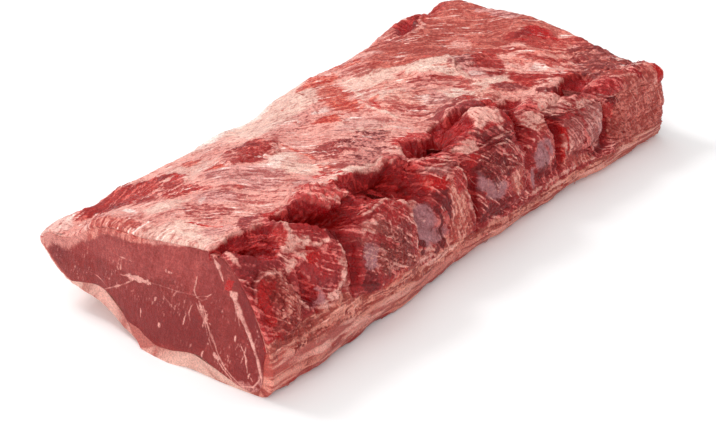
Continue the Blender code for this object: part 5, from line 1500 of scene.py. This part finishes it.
def grow(name, host, tree, numbers, seed, material):
    # runs a tree on a host and keeps the result as a plain mesh
    holder = bpy.data.objects.new(name, host.data)
    bpy.context.scene.collection.objects.link(holder)
    modifier = holder.modifiers.new("grow", "NODES")
    modifier.node_group = tree
    sockets = {item.name: item.identifier for item in tree.interface.items_tree if item.in_out == "INPUT"}
    for key, value in numbers.items():
        modifier[sockets[key]] = float(value)
    modifier[sockets["seed"]] = seed
    modifier[sockets["finish"]] = material
    bpy.context.view_layer.update()
    evaluated = holder.evaluated_get(bpy.context.evaluated_depsgraph_get())
    mesh = bpy.data.meshes.new_from_object(evaluated)
    holder.modifiers.clear()
    holder.data = mesh
    mesh.name = name
    for layer in ("under", "over", "cover", "wet", "way"):
        if layer in mesh.attributes:
            mesh.attributes.remove(mesh.attributes[layer])
    print(name + ":", len(mesh.polygons), "faces")
    return holder


def threadMaterial(name, dark, light):
    made, node, shader = newFinish(name)
    place = node("ShaderNodeTexCoord").outputs["Object"]
    patchy = node("ShaderNodeTexNoise", {"Vector": place, "Scale": 110, "Detail": 3}).outputs["Fac"]
    ramp = node("ShaderNodeValToRGB", {"Fac": patchy})
    for stop, at, colour in zip(ramp.color_ramp.elements, (0.35, 0.65), (dark, light)):
        stop.position, stop.color = at, (*linear(colour), 1)
    bump = node("ShaderNodeBump", {"Strength": 0.4, "Distance": 0.0004, "Height": patchy})
    node(shader, {
        "Base Color": ramp.outputs["Color"], "Normal": bump.outputs["Normal"], "Roughness": 0.42,
        "Specular IOR Level": 0.35,
    })
    return made


def addWorld():
    world = bpy.data.worlds.new("studio")
    world.use_nodes = True
    node = nodeMaker(world.node_tree)
    node(world.node_tree.nodes["Background"], {"Color": (1, 1, 1, 1), "Strength": 0.43})
    bpy.context.scene.world = world
    bpy.context.scene.view_settings.view_transform = "Standard"


# The camera's view: degrees, metres and the place that it looks at.
camera = {
    "azimuth": -50.6, "elevation": 30.0, "distance": 1.89, "lens": 144.8,
    "target": (-0.0400, -0.0305, 0.02835),
}


def addCamera():
    azimuth, elevation = math.radians(camera["azimuth"]), math.radians(camera["elevation"])
    back = Vector((
        math.sin(azimuth) * math.cos(elevation),
        -math.cos(azimuth) * math.cos(elevation),
        math.sin(elevation),
    ))
    data = bpy.data.cameras.new("camera")
    data.lens, data.sensor_width = camera["lens"], 36.0
    made = bpy.data.objects.new("camera", data)
    made.location = Vector(camera["target"]) + back * camera["distance"]
    made.rotation_euler = (-back).to_track_quat("-Z", "Y").to_euler()
    bpy.context.scene.collection.objects.link(made)
    bpy.context.scene.camera = made


lights = {
    "key": {"at": (-0.25, 1.2, 1.5), "size": 0.5, "power": 14.5},
    "over": {"at": (0.25, 0.6, 1.9), "size": 1.6, "power": 14},
    "front": {"at": (-1.3, -1.0, 1.3), "size": 1.8, "power": 12},
    "left": {"at": (-1.9, 0.2, 0.42), "size": 1.3, "power": 6},
}


def addLights():
    for name, light in lights.items():
        data = bpy.data.lights.new(name, "AREA")
        data.size, data.energy = light["size"], light["power"]
        made = bpy.data.objects.new(name, data)
        made.location = light["at"]
        made.rotation_euler = (-Vector(light["at"])).to_track_quat("-Z", "Y").to_euler()
        bpy.context.scene.collection.objects.link(made)


def addFloor():
    half = 6.0
    mesh = bpy.data.meshes.new("floor")
    corners = [(-half, -half, 0), (half, -half, 0), (half, half, 0), (-half, half, 0)]
    mesh.from_pydata(corners, [], [(0, 1, 2, 3)])
    made = bpy.data.objects.new("floor", mesh)
    finish, node, shader = newFinish("paleFloor")
    node(shader, {
        "Base Color": (0.96, 0.96, 0.96, 1), "Roughness": 0.8, "Specular IOR Level": 0.2,
        "Emission Color": (1, 1, 1, 1), "Emission Strength": 0.09,
    })
    mesh.materials.append(finish)
    bpy.context.scene.collection.objects.link(made)


# Grain of the finishes: scales of three noises, how far they move and soften the border between the two
# colours, how much they darken, and what the border and the noises add to the bumps.
skinGrain = {
    "coarse": 300, "fine": 900, "finest": 1050, "spread": 0.42, "edge": 0.12, "tone": 0.36, "step": 0.6,
    "crumb": 0.7, "glint": 0.4,
}
cutGrain = {
    "coarse": 420, "fine": 1300, "finest": 1300, "spread": 0.6, "edge": 0.2, "tone": 0.34, "step": 0.3,
    "crumb": 0.5, "glint": 0.2,
}
skinFinish = tissueMaterial("rawSkin", skinGrain)
cutFinish = tissueMaterial("cutMuscle", cutGrain)
fatFinish = tissueMaterial("rawFat", skinGrain)

threadFinish = threadMaterial("sinew", (176, 72, 66), (218, 132, 122))
crumbFinish = threadMaterial("fatCrumb", (184, 82, 74), (224, 140, 126))

bodyPieces = [buildBody(name, *ends, skinFinish) for name, ends in body["parts"].items()]
facePieces = [
    buildFace("cutFace", -1, cutFinish, cutFace["spacing"], cutFace["rows"]),
    buildFace("farFace", 1, cutFinish, cutFace["farSpacing"], cutFace["farRows"]),
]
fatPiece = buildFat(fatFinish)
sinew, crumbly = threadTree(), crumbTree()
grown = []
for number, host in enumerate([*bodyPieces, fatPiece]):
    part = host.name[4:] if host is not fatPiece else "Fat"
    grown.append(grow("sinew" + part, host, sinew, threads, 11 + number, threadFinish))
    grown.append(grow("crumbs" + part, host, crumbly, crumbs, 31 + number, crumbFinish))
bpy.data.node_groups.remove(sinew)
bpy.data.node_groups.remove(crumbly)
for piece in (*bodyPieces, *facePieces):
    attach(piece, "root")
for piece in bodyPieces:
    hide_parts("loin")
for piece in (fatPiece, *grown):
    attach(piece, "root")
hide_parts("fat_cap")
addCamera()
addLights()
addFloor()
addWorld()
